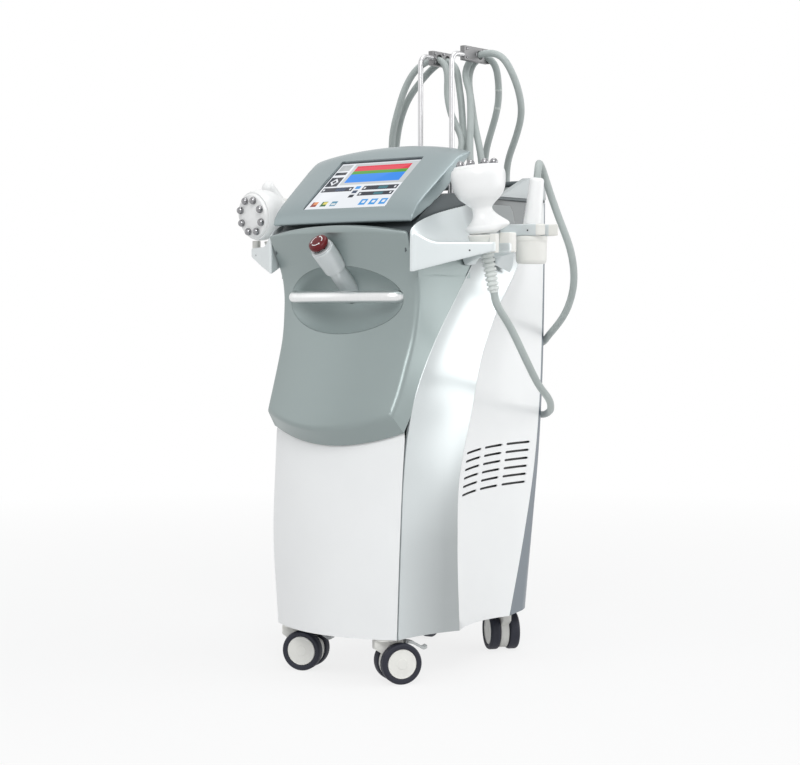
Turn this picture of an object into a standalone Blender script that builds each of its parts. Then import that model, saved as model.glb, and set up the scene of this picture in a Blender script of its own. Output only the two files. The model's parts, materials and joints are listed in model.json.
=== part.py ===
"""Radio frequency body contouring machine on four twin-wheel casters.

Metres, +Z up, front of the machine towards -Y, origin on the floor below the middle of the body.
Each named object is one piece. Pieces that move have their origin on their joint's axis.
"""

import math

import bmesh
import bpy
import numpy as np
from mathutils import Matrix, Vector

# Driving dimensions of the body, in metres
BODY_TOP = 0.955
HALF_WIDTH = 0.187
HALF_DEPTH = 0.275
SKIN = 0.003
BACK_BULGE = 0.0043
PANEL_TUCK = 0.003
PANEL_TUCK_FROM = 0.475
BAND_HOLLOW = 0.009
SIDE_HOLLOW_FOOT = 0.020
SIDE_HOLLOW_TOP = 0.006
SEAM_GAP = 0.001
TOUCH_GAP = 0.0003
OVERRUN = 0.02
PANEL_TOP = 0.500
SHELL_TOP = 0.9447
SHELL_SEAM = 0.0004

# Lines that run up the body, as rows of (height, half width, depth) shares of the sizes above
CORNER_SHARES = (
    (0.092, 0.824, -0.775), (0.291, 0.877, -0.785), (0.419, 0.882, -0.760), (0.524, 0.888, -0.731),
)
STRIP_SHARES = (
    (0.092, 0.834, -0.767), (0.291, 0.888, -0.778), (0.419, 0.893, -0.753), (0.513, 0.909, -0.716),
    (0.575, 0.936, -0.676), (0.714, 0.947, -0.396), (0.796, 0.947, -0.164), (0.866, 0.947, 0.022),
    (0.990, 0.940, 0.180),
)
SEAM_SHARES = (
    (0.092, 1.000, -0.204), (0.276, 0.995, -0.225), (0.401, 0.984, -0.196), (0.539, 0.968, -0.036),
    (0.674, 0.952, 0.135), (0.761, 0.941, 0.327), (0.847, 0.925, 0.582), (0.990, 0.915, 0.860),
)
REAR_EDGE_SHARES = (
    (0.092, 0.909, 0.509), (0.262, 0.914, 0.691), (0.419, 0.914, 0.829), (0.556, 0.909, 0.900),
    (0.733, 0.909, 0.933), (0.853, 0.909, 0.945), (0.990, 0.909, 0.955),
)
REAR_CORNER_SHARES = (
    (0.092, 0.733, 0.916), (0.262, 0.775, 0.953), (0.419, 0.813, 0.975), (0.556, 0.840, 0.985),
    (0.733, 0.856, 0.996), (0.990, 0.856, 1.000),
)
CREASE_SHARES = (
    (0.514, 0.845, -0.893), (0.546, 0.856, -0.862), (0.588, 0.877, -0.800), (0.641, 0.893, -0.731),
    (0.697, 0.914, -0.665), (0.746, 0.930, -0.636), (0.791, 0.936, -0.630), (0.829, 0.941, -0.651),
    (0.871, 0.944, -0.713), (0.912, 0.944, -0.785),
)

# Front panel and shield
PANEL_BULGE_FOOT = 0.046
PANEL_BULGE_TOP = 0.024
SHIELD_BULGE = 0.026
SHIELD_FOOT = 0.457
SHIELD_FOOT_RISE = 0.030
SHIELD_FACE_FOOT = 0.491
SHIELD_FACE_FOOT_RISE = 0.030
SHIELD_TOP = 0.868
SHIELD_TOP_ARCH = 0.016
SHIELD_LIP_BACK = -0.207
SHIELD_FLANK_TOP = 0.790
SHIELD_RETURN = 0.012
SHIELD_ROWS = 8

# Oval dish in the shield, the grip bar across it and the stalk in it
DISH_HALF_LENGTH = 0.145
DISH_HALF_HEIGHT = 0.067
DISH_HEIGHT = 0.741
DISH_DEPTH = 0.036
GRIP_RADIUS = 0.0115
GRIP_HALF_LENGTH = 0.126
GRIP_HOOK_SHARES = ((0.42, 0.42), (0.67, 1.10))
GRIP_HEIGHT = 0.747
GRIP_BOW = 0.022
GRIP_TUCK = 0.012
STALK_FOOT_Y = -0.164
STALK_FOOT_Z = 0.761
STALK_TILT = math.radians(42)
STALK_TUCK = 0.016
NECK_RADIUS = 0.0195
NECK_LENGTH = 0.064
SLEEVE_RADIUS = 0.0235
SLEEVE_LENGTH = 0.056
RING_THICKNESS = 0.003
BUTTON_RADIUS = 0.0205
BUTTON_HEIGHT = 0.013
BUTTON_TRAVEL = 0.004
BUTTON_SHANK_RADIUS = 0.011

# Display case
CASE_FRONT_Y = -0.199
CASE_FRONT_Z = 0.893
CASE_TILT = math.radians(39)
CASE_HALF_WIDTH_FOOT = 0.178
CASE_HALF_WIDTH_TOP = 0.191
CASE_SIDE_LENGTH = 0.222
CASE_ARCH = 0.033
CASE_CROWN = 0.020
CASE_BACK_DEPTH = 0.016
# Back's depth at the case's two ends, and how far its crown falls towards the sides
CASE_BACK_EDGE_SHARE = 0.3
CASE_SIDE_FALL_SHARE = 0.35
SCREEN_WIDTH = 0.211
SCREEN_HEIGHT = 0.158
SCREEN_THICKNESS = 0.004
SCREEN_ALONG = 0.106
SCREEN_PROUD = 0.015
SCREEN_CLEARANCE = 0.0005
BRACKET_WIDTH = 0.150
BRACKET_DEPTH = 0.050
HINGE_ALONG = 0.170
HINGE_RADIUS = 0.009
HINGE_DROP = 0.030

# Deck, cheeks and push bar
DECK_HALF_WIDTH = 0.1745
DECK_FRONT_HALF_WIDTH = 0.168
DECK_THICKNESS = 0.005
DECK_FRONT_Y = -0.2035
DECK_BACK_SHARE = 0.93818
DECK_BACK_Y = HALF_DEPTH * DECK_BACK_SHARE
DECK_ROW_SHARES = (0, 0.1, 0.2, 0.3, 0.45, 0.64, 1.0)
DECK_LEVEL = 0.950
DECK_FRONT_LEVEL = 0.862
DECK_KNEE_Y = -0.060
CHEEK_OUTER = 0.176
CHEEK_THICKNESS = 0.018
CHEEK_FRONT_Y = 0.100
CHEEK_PEAK_Y = 0.197
CHEEK_BACK_Y = 0.262
CHEEK_PEAK_Z = 0.994
PUSH_BAR_Y = 0.215
PUSH_BAR_Z = 0.979
PUSH_BAR_HEIGHT = 0.021
PUSH_BAR_DEPTH = 0.026

# Side trays
TRAY_INNER = 0.1778
TRAY_FRONT_Y = -0.205
TRAY_BACK_Y = 0.125
TRAY_REACH = 0.315
TRAY_LEVEL = 0.850
TRAY_REAR_LEVEL = 0.889
TRAY_ROOT_BOTTOM = 0.792
TRAY_TIP_BOTTOM = 0.832
TRAY_REAR_BOTTOM = 0.866
TRAY_SCOOP_TOP = 0.936
TRAY_SCOOP_WIDTH = 0.050
TRAY_ROOT_RISE = 0.018
FRONT_HOLDER_X = 0.266
FRONT_HOLDER_Y = -0.087
REAR_HOLDER_X = 0.291
REAR_HOLDER_Y = 0.038
FRONT_SLOT_RADIUS = 0.0210
REAR_SLOT_RADIUS = 0.0210
# Outer edge of the tray: rows of (depth along the tray, reach) shares, from front to back
TRAY_EDGE_SHARES = (
    (0.00, 0.00), (0.015, 0.03), (0.10, 0.40), (0.227, 0.884), (0.255, 0.985), (0.273, 1.00), (0.47, 1.00),
    (0.485, 0.97), (0.494, 0.884), (0.53, 0.40), (0.56, 0.37), (0.60, 0.37), (0.636, 0.40), (0.648, 0.90),
    (0.658, 1.078), (0.688, 1.20), (0.797, 1.20), (0.821, 1.078), (0.835, 0.80), (0.848, 0.38), (1.00, 0.02),
)

# Cream inserts of the trays
HOLDER_RADIUS = 0.030
HOLDER_FOOT_RADIUS = 0.025
HOLDER_BORE = 0.0175
HOLDER_HEIGHT = 0.014
HOLDER_GATE = 0.030
CUP_RADIUS = 0.0315
CUP_FOOT_RADIUS = 0.0270
CUP_LENGTH = 0.054
CUP_BORE = 0.0230
CUP_FLOOR = 0.018
SOCKET_RADIUS = 0.0205
SOCKET_BORE = 0.0152
SOCKET_LENGTH = 0.024
ARM_WIDTH = 0.016
ARM_FRONT_Y = -0.036
ARM_BACK_Y = 0.044
ARM_TOP = 0.922
ARM_X = 0.332

# Large handpieces: rows of (radius, height) shares of the rim radius and the body's length
RIM_RADIUS = 0.052
BOWL_LENGTH = 0.124
BOWL_SHARES = (
    (0.00, 1.00), (0.95, 1.00), (1.00, 0.94), (0.99, 0.78), (0.93, 0.67), (0.78, 0.56), (0.52, 0.465),
    (0.35, 0.39), (0.325, 0.32), (0.37, 0.23), (0.50, 0.155), (0.62, 0.10), (0.60, 0.04), (0.48, 0.00),
    (0.00, 0.00),
)
BEAK_REACH = 0.036
BEAK_RADIUS = 0.020
BEAK_ROOT = 0.012
BEAK_LEVEL = 0.019
BEAK_SHARES = ((0, 1.0), (0.16, 0.97), (0.28, 0.91), (1.0, 0.0), (0, 0.0))
HEAD_THICKNESS = 0.006
DOME_RADIUS = 0.0080
DOME_RING_RADIUS = 0.0345
DOME_COUNT = 8
DOME_RISE = 0.0030
SEAT_CLEARANCE = 0.0014
RELIEF_RADIUS = 0.0120
RELIEF_RIB_RADIUS = 0.0130
RELIEF_END_RADIUS = 0.0105
RELIEF_LENGTH = 0.113
RELIEF_COLLAR = 0.036
RELIEF_RIBS = 8
HOSE_RADIUS = 0.0073
RIGHT_BIG_SEAT_Z = 0.8675
RIGHT_BIG_LEAN = math.radians(5.6)
RELIEF_LEAN = math.radians(10.4)
LEAN_HEADING = math.radians(38.7)
LEFT_FACE_X = -0.275
LEFT_FACE_Y = -0.159
LEFT_FACE_Z = 0.915
LEFT_BIG_DIP = math.radians(7.6)
LEFT_BIG_YAW = math.radians(8)

# Small handpieces
HANDLE_TOP_RADIUS = 0.0140
HANDLE_FOOT_RADIUS = 0.0180
HANDLE_LENGTH = 0.148
HANDLE_LEAN = math.radians(7)
HANDLE_TOP_ROUND = 0.004
WAND_RADIUS = 0.0145
WAND_LENGTH = 0.085
WAND_TIP_X = -0.318
WAND_TIP_Y = -0.073
WAND_TIP_Z = 0.989
WAND_LEAN = math.radians(45)
WAND_YAW = math.radians(6.5)

# Hanger
POST_RADIUS = 0.0055
POST_X = 0.041
POST_Y = 0.110
POST_TOP = 1.254
POST_BEND = 0.020
CLAMP_FRONT_Y = 0.148
CLAMP_BACK_Y = 0.238
LEFT_CLAMP_BACK_Y = 0.217
CLAMP_WIDTH = 0.012
CLAMP_HEIGHT = 0.030
CLAMP_BORE = 0.0094
CLAMP_LEFT_X = -0.044
CLAMP_RIGHT_X = 0.040
LEFT_CLAMP_Z = 1.254
RIGHT_CLAMP_Z = 1.258
LEFT_BORE_NEAR_Y = 0.172
LEFT_BORE_FAR_Y = 0.200
RIGHT_BORE_NEAR_Y = 0.203
RIGHT_BORE_FAR_Y = 0.226
MANIFOLD_RADIUS = 0.0125
MANIFOLD_HEIGHT = 0.036
MANIFOLD_PLATE = 0.006
MANIFOLD_X = 0.044
MANIFOLD_Y = 0.1525
MANIFOLD_WIDTH = 0.110
MANIFOLD_DEPTH = 0.071
MANIFOLD_RIGHT_BIG_X = 0.076
MANIFOLD_RIGHT_BIG_Y = 0.173
MANIFOLD_RIGHT_SMALL_X = 0.068
MANIFOLD_RIGHT_SMALL_Y = 0.142
MANIFOLD_LEFT_BIG_X = 0.030
MANIFOLD_LEFT_BIG_Y = 0.132
MANIFOLD_LEFT_SMALL_X = 0.012
MANIFOLD_LEFT_SMALL_Y = 0.161

# Routes of the four hoses, as shares of the height at which they hang
HANG_HEIGHT = 1.262
RIGHT_BIG_ROUTE_SHARES = (
    (0.0594, 0.1363, 0.8019), (0.0555, 0.1363, 0.8312), (0.0328, 0.1506, 0.8801),
    (0.0167, 0.1624, 0.9239), (0.0038, 0.1727, 0.9561), (0.0000, 0.1791, 0.9683),
    (0.0040, 0.1791, 0.9849), (0.0158, 0.1791, 0.9945), (0.0317, 0.1791, 0.9968),
    (0.0428, 0.1815, 0.9952), (0.0460, 0.1886, 0.9881), (0.0444, 0.1981, 0.9762),
    (0.0400, 0.2076, 0.9600), (0.0347, 0.2179, 0.9395), (0.0262, 0.2258, 0.9154),
    (0.0081, 0.2338, 0.8797), (-0.0074, 0.2377, 0.8431), (-0.0119, 0.2456, 0.7726),
    (-0.0063, 0.2552, 0.6735), (0.0000, 0.2615, 0.5547), (0.0174, 0.2655, 0.4635),
    (0.0555, 0.2662, 0.4025), (0.1000, 0.2520, 0.3920), (0.1387, 0.2179, 0.4002),
    (0.1759, 0.1680, 0.4113), (0.2076, 0.1149, 0.4287), (0.2266, 0.0555, 0.4556),
    (0.2377, 0.0079, 0.4929), (0.2330, -0.0301, 0.5468),
)
RIGHT_SMALL_ROUTE_SHARES = (
    (0.0523, 0.1133, 0.8019), (0.0460, 0.1189, 0.8360), (0.0414, 0.1268, 0.8694),
    (0.0332, 0.1387, 0.9040), (0.0212, 0.1506, 0.9425), (0.0063, 0.1585, 0.9628),
    (0.0079, 0.1609, 0.9826), (0.0174, 0.1609, 0.9937), (0.0317, 0.1609, 0.9968),
    (0.0460, 0.1624, 1.0000), (0.0708, 0.1688, 0.9967), (0.0869, 0.1807, 0.9669),
    (0.0928, 0.1957, 0.9298), (0.0887, 0.2076, 0.9028), (0.0698, 0.2203, 0.8665),
    (0.0435, 0.2314, 0.8230), (0.0349, 0.2409, 0.7607), (0.0365, 0.2456, 0.6735),
    (0.0491, 0.2488, 0.5864), (0.0720, 0.2488, 0.5330), (0.1020, 0.2430, 0.5130),
    (0.1379, 0.2179, 0.5289), (0.2014, 0.1783, 0.5743), (0.2369, 0.1426, 0.6241),
    (0.2455, 0.1189, 0.6666), (0.2349, 0.1030, 0.7138), (0.2231, 0.0919, 0.7580),
    (0.2193, 0.0777, 0.7920), (0.2263, 0.0594, 0.8007),
)
LEFT_BIG_ROUTE_SHARES = (
    (0.0254, 0.1046, 0.8019), (0.0314, 0.1189, 0.8496), (0.0025, 0.1268, 0.8951),
    (-0.0143, 0.1363, 0.9414), (-0.0127, 0.1363, 0.9635), (-0.0166, 0.1363, 0.9818),
    (-0.0261, 0.1363, 0.9921), (-0.0349, 0.1363, 0.9937), (-0.0475, 0.1363, 0.9937),
    (-0.0650, 0.1363, 0.9889), (-0.0824, 0.1363, 0.9786), (-0.1038, 0.1363, 0.9517),
    (-0.1189, 0.1363, 0.9168), (-0.1331, 0.1379, 0.8756), (-0.1410, 0.1442, 0.8320),
    (-0.1506, 0.1506, 0.7805), (-0.1593, 0.1553, 0.7132), (-0.1624, 0.1624, 0.6339),
    (-0.1632, 0.1791, 0.5721), (-0.1632, 0.2060, 0.5468), (-0.1632, 0.2298, 0.5721),
    (-0.1640, 0.2345, 0.6260), (-0.1648, 0.2155, 0.6910), (-0.1688, 0.1704, 0.7330),
    (-0.1799, 0.1149, 0.7496),
)
LEFT_SMALL_ROUTE_SHARES = (
    (0.0111, 0.1276, 0.8019), (0.0222, 0.1363, 0.8399), (0.0118, 0.1466, 0.8728),
    (0.0006, 0.1545, 0.9294), (-0.0063, 0.1585, 0.9509), (-0.0095, 0.1585, 0.9731),
    (-0.0174, 0.1585, 0.9873), (-0.0277, 0.1585, 0.9929), (-0.0365, 0.1585, 0.9937),
    (-0.0491, 0.1585, 0.9905), (-0.0650, 0.1585, 0.9810), (-0.0840, 0.1585, 0.9659),
    (-0.1149, 0.1585, 0.9342), (-0.1363, 0.1616, 0.8954), (-0.1521, 0.1680, 0.8399),
    (-0.1775, 0.1783, 0.7607), (-0.2029, 0.1807, 0.6815), (-0.2203, 0.1680, 0.5983),
    (-0.2330, 0.1331, 0.5230), (-0.2401, 0.0872, 0.4913), (-0.2448, 0.0436, 0.5151),
    (-0.2472, 0.0143, 0.5705), (-0.2472, 0.0000, 0.6339), (-0.2472, -0.0016, 0.6878),
)

# Chassis and inner modules
PLATE_LEVEL = 0.088
PLATE_THICKNESS = 0.006
PLATE_HALF_WIDTH = 0.137
PLATE_FRONT_SHARE = -0.78727
PLATE_BACK_SHARE = 0.82182
PLATE_FRONT_Y = HALF_DEPTH * PLATE_FRONT_SHARE
PLATE_BACK_Y = HALF_DEPTH * PLATE_BACK_SHARE
TONGUE_HALF_WIDTH = 0.100
TONGUE_BACK_SHARE = 0.90691
TONGUE_BACK_Y = HALF_DEPTH * TONGUE_BACK_SHARE
FRAME_TUBE = 0.020
FRAME_HALF_WIDTH = 0.120
FRAME_FRONT_Y = -0.110
FRAME_BACK_Y = 0.195
FRAME_TOP = 0.860
FRAME_SHELF = 0.470
GENERATOR_WIDTH = 0.190
GENERATOR_DEPTH = 0.240
GENERATOR_HEIGHT = 0.120
PUMP_RADIUS = 0.045
PUMP_LENGTH = 0.150
PUMP_FOOT = 0.060
PUMP_FOOT_HEIGHT = 0.020
MODULE_Y = 0.040
FAN_SIZE = 0.092
FAN_DEPTH = 0.025
FAN_BLADES = 7
FAN_HUB_RADIUS = 0.016
FAN_TIP_CLEARANCE = 0.003
FAN_BLADE_CHORD = 0.018
FAN_BLADE_THICKNESS = 0.0015
FAN_BAR = 0.010
FAN_HEIGHT = 0.330
FAN_STAND_OFF = 0.00037
INLET_WIDTH = 0.048
INLET_HEIGHT = 0.075
INLET_DEPTH = 0.030
INLET_PROUD = 0.00362
INLET_Z = 0.190
SOCKET_WIDTH = 0.024
SOCKET_HEIGHT = 0.016
SOCKET_DEPTH = 0.016
SOCKET_DROP = 0.018
PIN_WIDTH = 0.002
PIN_HEIGHT = 0.004
PIN_PITCH = 0.007
ROCKER_SIZE = 0.019
ROCKER_GAP = 0.0012
ROCKER_SIDE_GAP = 0.0004
ROCKER_RISE = 0.017
ROCKER_DEPTH = 0.010
ROCKER_WELL = 0.014

# Casters
WHEEL_RADIUS = 0.040
WHEEL_OUTER = 0.032
WHEEL_INNER = 0.0103
AXLE_RADIUS = 0.005
WHEEL_SHARES = ((0.00, 0.94), (0.72, 0.94), (0.80, 0.975), (0.93, 1.00), (1.00, 0.88))
CASTER_TRAIL = 0.026
CASTER_X = 0.118
CASTER_FRONT_SHARE = -0.74545
CASTER_BACK_SHARE = 0.70909
CASTER_FRONT_Y = HALF_DEPTH * CASTER_FRONT_SHARE
CASTER_BACK_Y = HALF_DEPTH * CASTER_BACK_SHARE
SWIVEL_RADIUS = 0.023
SWIVEL_THICKNESS = 0.004
YOKE_HALF_WIDTH = 0.009
YOKE_RADIUS = 0.036
YOKE_BACK = 0.023
YOKE_FRONT = 0.034
YOKE_NECK = 0.074
RUNNING_GAP = 0.0006
PEDAL_HINGE_X = 0.0420
PEDAL_HINGE_Z = 0.0790
PEDAL_BARREL = 0.0035
PEDAL_HALF_WIDTH = 0.0095
PEDAL_SHARES = ((0.00, 0.0), (0.30, -0.06), (0.60, -0.22), (0.86, -0.33), (1.00, -0.27))
PEDAL_LENGTH = 0.044
PEDAL_THICKNESS = 0.004
# Heading of each caster's axle, as degrees round from the front towards the right
CASTER_HEADINGS = {"front_right": 56.7, "front_left": 20.7, "rear_right": 140.6, "rear_left": 104.0}

# Vent slots of the side panels
VENT_ROWS = 6
VENT_TOP = 0.445
VENT_PITCH = 0.0165
VENT_HEIGHT = 0.0045
VENT_DRIFT = 0.0035
VENT_DROOP = 0.0066
VENT_SPAN_SHARES = ((-0.080, 0.145), (0.195, 0.44), (0.49, 0.785))

COLOURS = {
    "silver": ((0.46, 0.50, 0.50), 0.34, 0.85),
    "white": ((0.88, 0.89, 0.88), 0.28, 0.0),
    "deck": ((0.09, 0.105, 0.11), 0.45, 0.1),
    "chrome": ((0.75, 0.75, 0.75), 0.12, 1.0),
    "steel": ((0.55, 0.56, 0.57), 0.35, 1.0),
    "hose": ((0.38, 0.43, 0.41), 0.55, 0.0),
    "handpiece": ((0.86, 0.86, 0.86), 0.35, 0.0),
    "cream": ((0.78, 0.77, 0.70), 0.40, 0.0),
    "red": ((0.35, 0.008, 0.010), 0.30, 0.0),
    "tyre": ((0.012, 0.014, 0.022), 0.65, 0.0),
    "screen": ((0.60, 0.70, 0.80), 0.10, 0.0),
    "module": ((0.30, 0.31, 0.32), 0.50, 0.3),
    "black": ((0.02, 0.02, 0.02), 0.50, 0.0),
}


def clear_scene():
    for obj in list(bpy.data.objects):
        bpy.data.objects.remove(obj, do_unlink=True)


def new_collection(name, hidden=False):
    group = bpy.data.collections.new(name)
    bpy.context.scene.collection.children.link(group)
    group.hide_render = hidden
    return group


clear_scene()
PARTS = new_collection("rf_body_contouring_machine")
CUTTERS = new_collection("cutters", hidden=True)


def material(name):
    """A Principled material from the table of colours."""
    found = bpy.data.materials.get(name)
    if found:
        return found
    made = bpy.data.materials.new(name)
    made.use_nodes = True
    shader = made.node_tree.nodes["Principled BSDF"]
    colour, rough, metal = COLOURS[name]
    shader.inputs["Base Color"].default_value = (*colour, 1.0)
    shader.inputs["Roughness"].default_value = rough
    shader.inputs["Metallic"].default_value = metal
    return made


def place(name, data, paint, group=None):
    """Links a new object and gives it its paint."""
    obj = bpy.data.objects.new(name, data)
    (group or PARTS).objects.link(obj)
    if paint:
        data.materials.append(material(paint))
    if group is CUTTERS:
        obj.hide_render = True
        obj.display_type = "WIRE"
    return obj


def smooth(obj, angle=math.radians(35)):
    obj.data.shade_smooth()
    obj.data.set_sharp_from_angle(angle=angle)
    return obj


def smooth_interp(at, xs, ys):
    """Cubic curve through the points (xs, ys) with the slope of each point's two neighbours."""
    xs, ys = np.asarray(xs, float), np.asarray(ys, float)
    slope = np.gradient(ys, xs)
    at = np.clip(at, xs[0], xs[-1])
    i = np.clip(np.searchsorted(xs, at, side="right") - 1, 0, len(xs) - 2)
    width = xs[i + 1] - xs[i]
    t = (at - xs[i]) / width
    rise, run = t * t * (3 - 2 * t), t * (1 - t)
    return ys[i] + (ys[i + 1] - ys[i]) * rise + width * run * (slope[i] * (1 - t) - slope[i + 1] * t)


def body_line(shares, z):
    """Half width and depth of a line up the body at the heights z."""
    rows = np.array(shares)
    heights = rows[:, 0] * BODY_TOP
    x = smooth_interp(z, heights, rows[:, 1] * HALF_WIDTH)
    y = smooth_interp(z, heights, rows[:, 2] * HALF_DEPTH)
    return x, y


def grid_solid(name, outer, inner, paint, loop=False, group=None):
    """A closed solid between two grids of points of one shape; loop closes the second direction."""
    rows, columns = outer.shape[:2]
    index = np.arange(rows * columns).reshape(rows, columns)
    across = np.concatenate([index, index[:, :1]], axis=1) if loop else index
    a, b = across[:-1, :-1].ravel(), across[:-1, 1:].ravel()
    c, d = across[1:, 1:].ravel(), across[1:, :-1].ravel()
    faces = [np.stack([a, b, c, d], 1), np.stack([d, c, b, a], 1) + rows * columns]
    rims = [across[0], across[-1][::-1]]
    if not loop:
        rims += [index[:, -1], index[:, 0][::-1]]
    for rim in rims:
        faces.append(np.stack([rim[1:], rim[:-1], rim[:-1] + rows * columns, rim[1:] + rows * columns], 1))
    faces = np.concatenate(faces)
    points = np.concatenate([outer.reshape(-1, 3), inner.reshape(-1, 3)])
    first, second, third = points[faces[:, 0]], points[faces[:, 1]], points[faces[:, 2]]
    fourth = points[faces[:, 3]]
    volume = (first * np.cross(second, third)).sum() + (first * np.cross(third, fourth)).sum()
    if volume < 0:
        faces = faces[:, ::-1]
    mesh = bpy.data.meshes.new(name)
    mesh.from_pydata(points.tolist(), [], faces.tolist())
    mesh.update()
    return smooth(place(name, mesh, paint, group))


def mirror_x(points, side):
    return points * np.array([side, 1.0, 1.0])


def stack(x, y, z):
    return np.stack(np.broadcast_arrays(x, y, z), -1)


def bevel(obj, width, segments=1, angle=math.radians(35)):
    cut = obj.modifiers.new("edges", "BEVEL")
    cut.width = width
    cut.segments = segments
    cut.limit_method = "ANGLE"
    cut.angle_limit = angle
    return obj


def boolean(obj, other, operation="DIFFERENCE"):
    cut = obj.modifiers.new(operation.lower(), "BOOLEAN")
    cut.operation = operation
    cut.object = other
    return obj


def box(name, size, centre, paint, rounding=0.0, group=None):
    mesh = bpy.data.meshes.new(name)
    work = bmesh.new()
    bmesh.ops.create_cube(work, size=1.0)
    bmesh.ops.scale(work, vec=size, verts=work.verts)
    work.to_mesh(mesh)
    work.free()
    obj = place(name, mesh, paint, group)
    obj.location = centre
    if rounding:
        bevel(obj, rounding)
    return obj


def turned(name, profile, paint, steps=24, group=None):
    """A turned solid: the profile's (radius, height) points run from the top of the axis to its foot."""
    mesh = bpy.data.meshes.new(name)
    points = [(radius, 0.0, height) for radius, height in profile]
    mesh.from_pydata(points, [(i, i + 1) for i in range(len(points) - 1)], [])
    obj = place(name, mesh, paint, group)
    screw = obj.modifiers.new("turn", "SCREW")
    screw.steps = steps
    screw.render_steps = steps
    screw.use_merge_vertices = True
    screw.merge_threshold = SKIN / 100
    screw.use_smooth_shade = True
    return obj


def rod(name, radius, length, paint, steps=24, group=None):
    """A cylinder along its own +Z, from its origin."""
    return turned(name, [(0, length), (radius, length), (radius, 0), (0, 0)], paint, steps, group)


def aim(obj, origin, direction, roll=(1.0, 0.0, 0.0)):
    """Puts an object's origin at a point and its +Z along a direction, with +X near roll."""
    z = Vector(direction).normalized()
    x = Vector(roll) - z * Vector(roll).dot(z)
    x.normalize()
    y = z.cross(x)
    turn = Matrix((x, y, z)).transposed().to_4x4()
    obj.matrix_world = Matrix.Translation(origin) @ turn
    return obj


def tube(name, points, radius, paint, sides=2, group=None):
    """A tube along points, as a curve with a round bevel and filled caps."""
    curve = bpy.data.curves.new(name, "CURVE")
    curve.dimensions = "3D"
    curve.bevel_depth = radius
    curve.bevel_resolution = sides
    curve.use_fill_caps = True
    spline = curve.splines.new("POLY")
    spline.points.add(len(points) - 1)
    for point, at in zip(spline.points, points):
        point.co = (*at, 1.0)
    return place(name, curve, paint, group)


def to_mesh(obj):
    """The object's evaluated mesh with its caps welded, in place of the object."""
    bpy.context.view_layer.update()
    seen = obj.evaluated_get(bpy.context.evaluated_depsgraph_get())
    mesh = bpy.data.meshes.new_from_object(seen)
    work = bmesh.new()
    work.from_mesh(mesh)
    bmesh.ops.remove_doubles(work, verts=work.verts, dist=SKIN / 100)
    work.to_mesh(mesh)
    work.free()
    name, matrix, groups = obj.name, obj.matrix_world.copy(), list(obj.users_collection)
    hidden = obj.hide_render
    bpy.data.objects.remove(obj, do_unlink=True)
    made = bpy.data.objects.new(name, mesh)
    for group in groups:
        group.objects.link(made)
    made.matrix_world = matrix
    made.hide_render = hidden
    if hidden:
        made.display_type = "WIRE"
    return made


def panel_depth(x, z):
    """Depth of the front panel's outer face: a bow between its two corners."""
    corner_x, corner_y = body_line(CORNER_SHARES, z)
    share = (z - PLATE_LEVEL) / (PANEL_TOP - PLATE_LEVEL)
    bulge = PANEL_BULGE_FOOT + (PANEL_BULGE_TOP - PANEL_BULGE_FOOT) * np.clip(share, 0, 1)
    return corner_y - bulge * (1 - (x / corner_x) ** 2)


def make_front_panel():
    rows, columns = 7, 13
    z = np.linspace(PLATE_LEVEL, PANEL_TOP, rows)[:, None]
    across = np.linspace(-1, 1, columns)[None, :]
    tuck = np.clip((z - PANEL_TUCK_FROM) / (PANEL_TOP - PANEL_TUCK_FROM), 0, 1)
    corner_x = body_line(CORNER_SHARES, z)[0] - PANEL_TUCK * tuck
    x = corner_x * across
    outer = stack(x, panel_depth(x, z), z)
    inner = stack(x * (1 - SKIN / corner_x), panel_depth(x, z) + SKIN, z)
    grid_solid("front_panel", outer, inner, "white")


def shield_depth(x, z):
    """Depth of the shield's face: a bow between its two creases, which lean in at mid height."""
    crease_x, crease_y = body_line(CREASE_SHARES, z)
    return crease_y - SHIELD_BULGE * (1 - np.clip(x / crease_x, -1, 1) ** 2)


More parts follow.
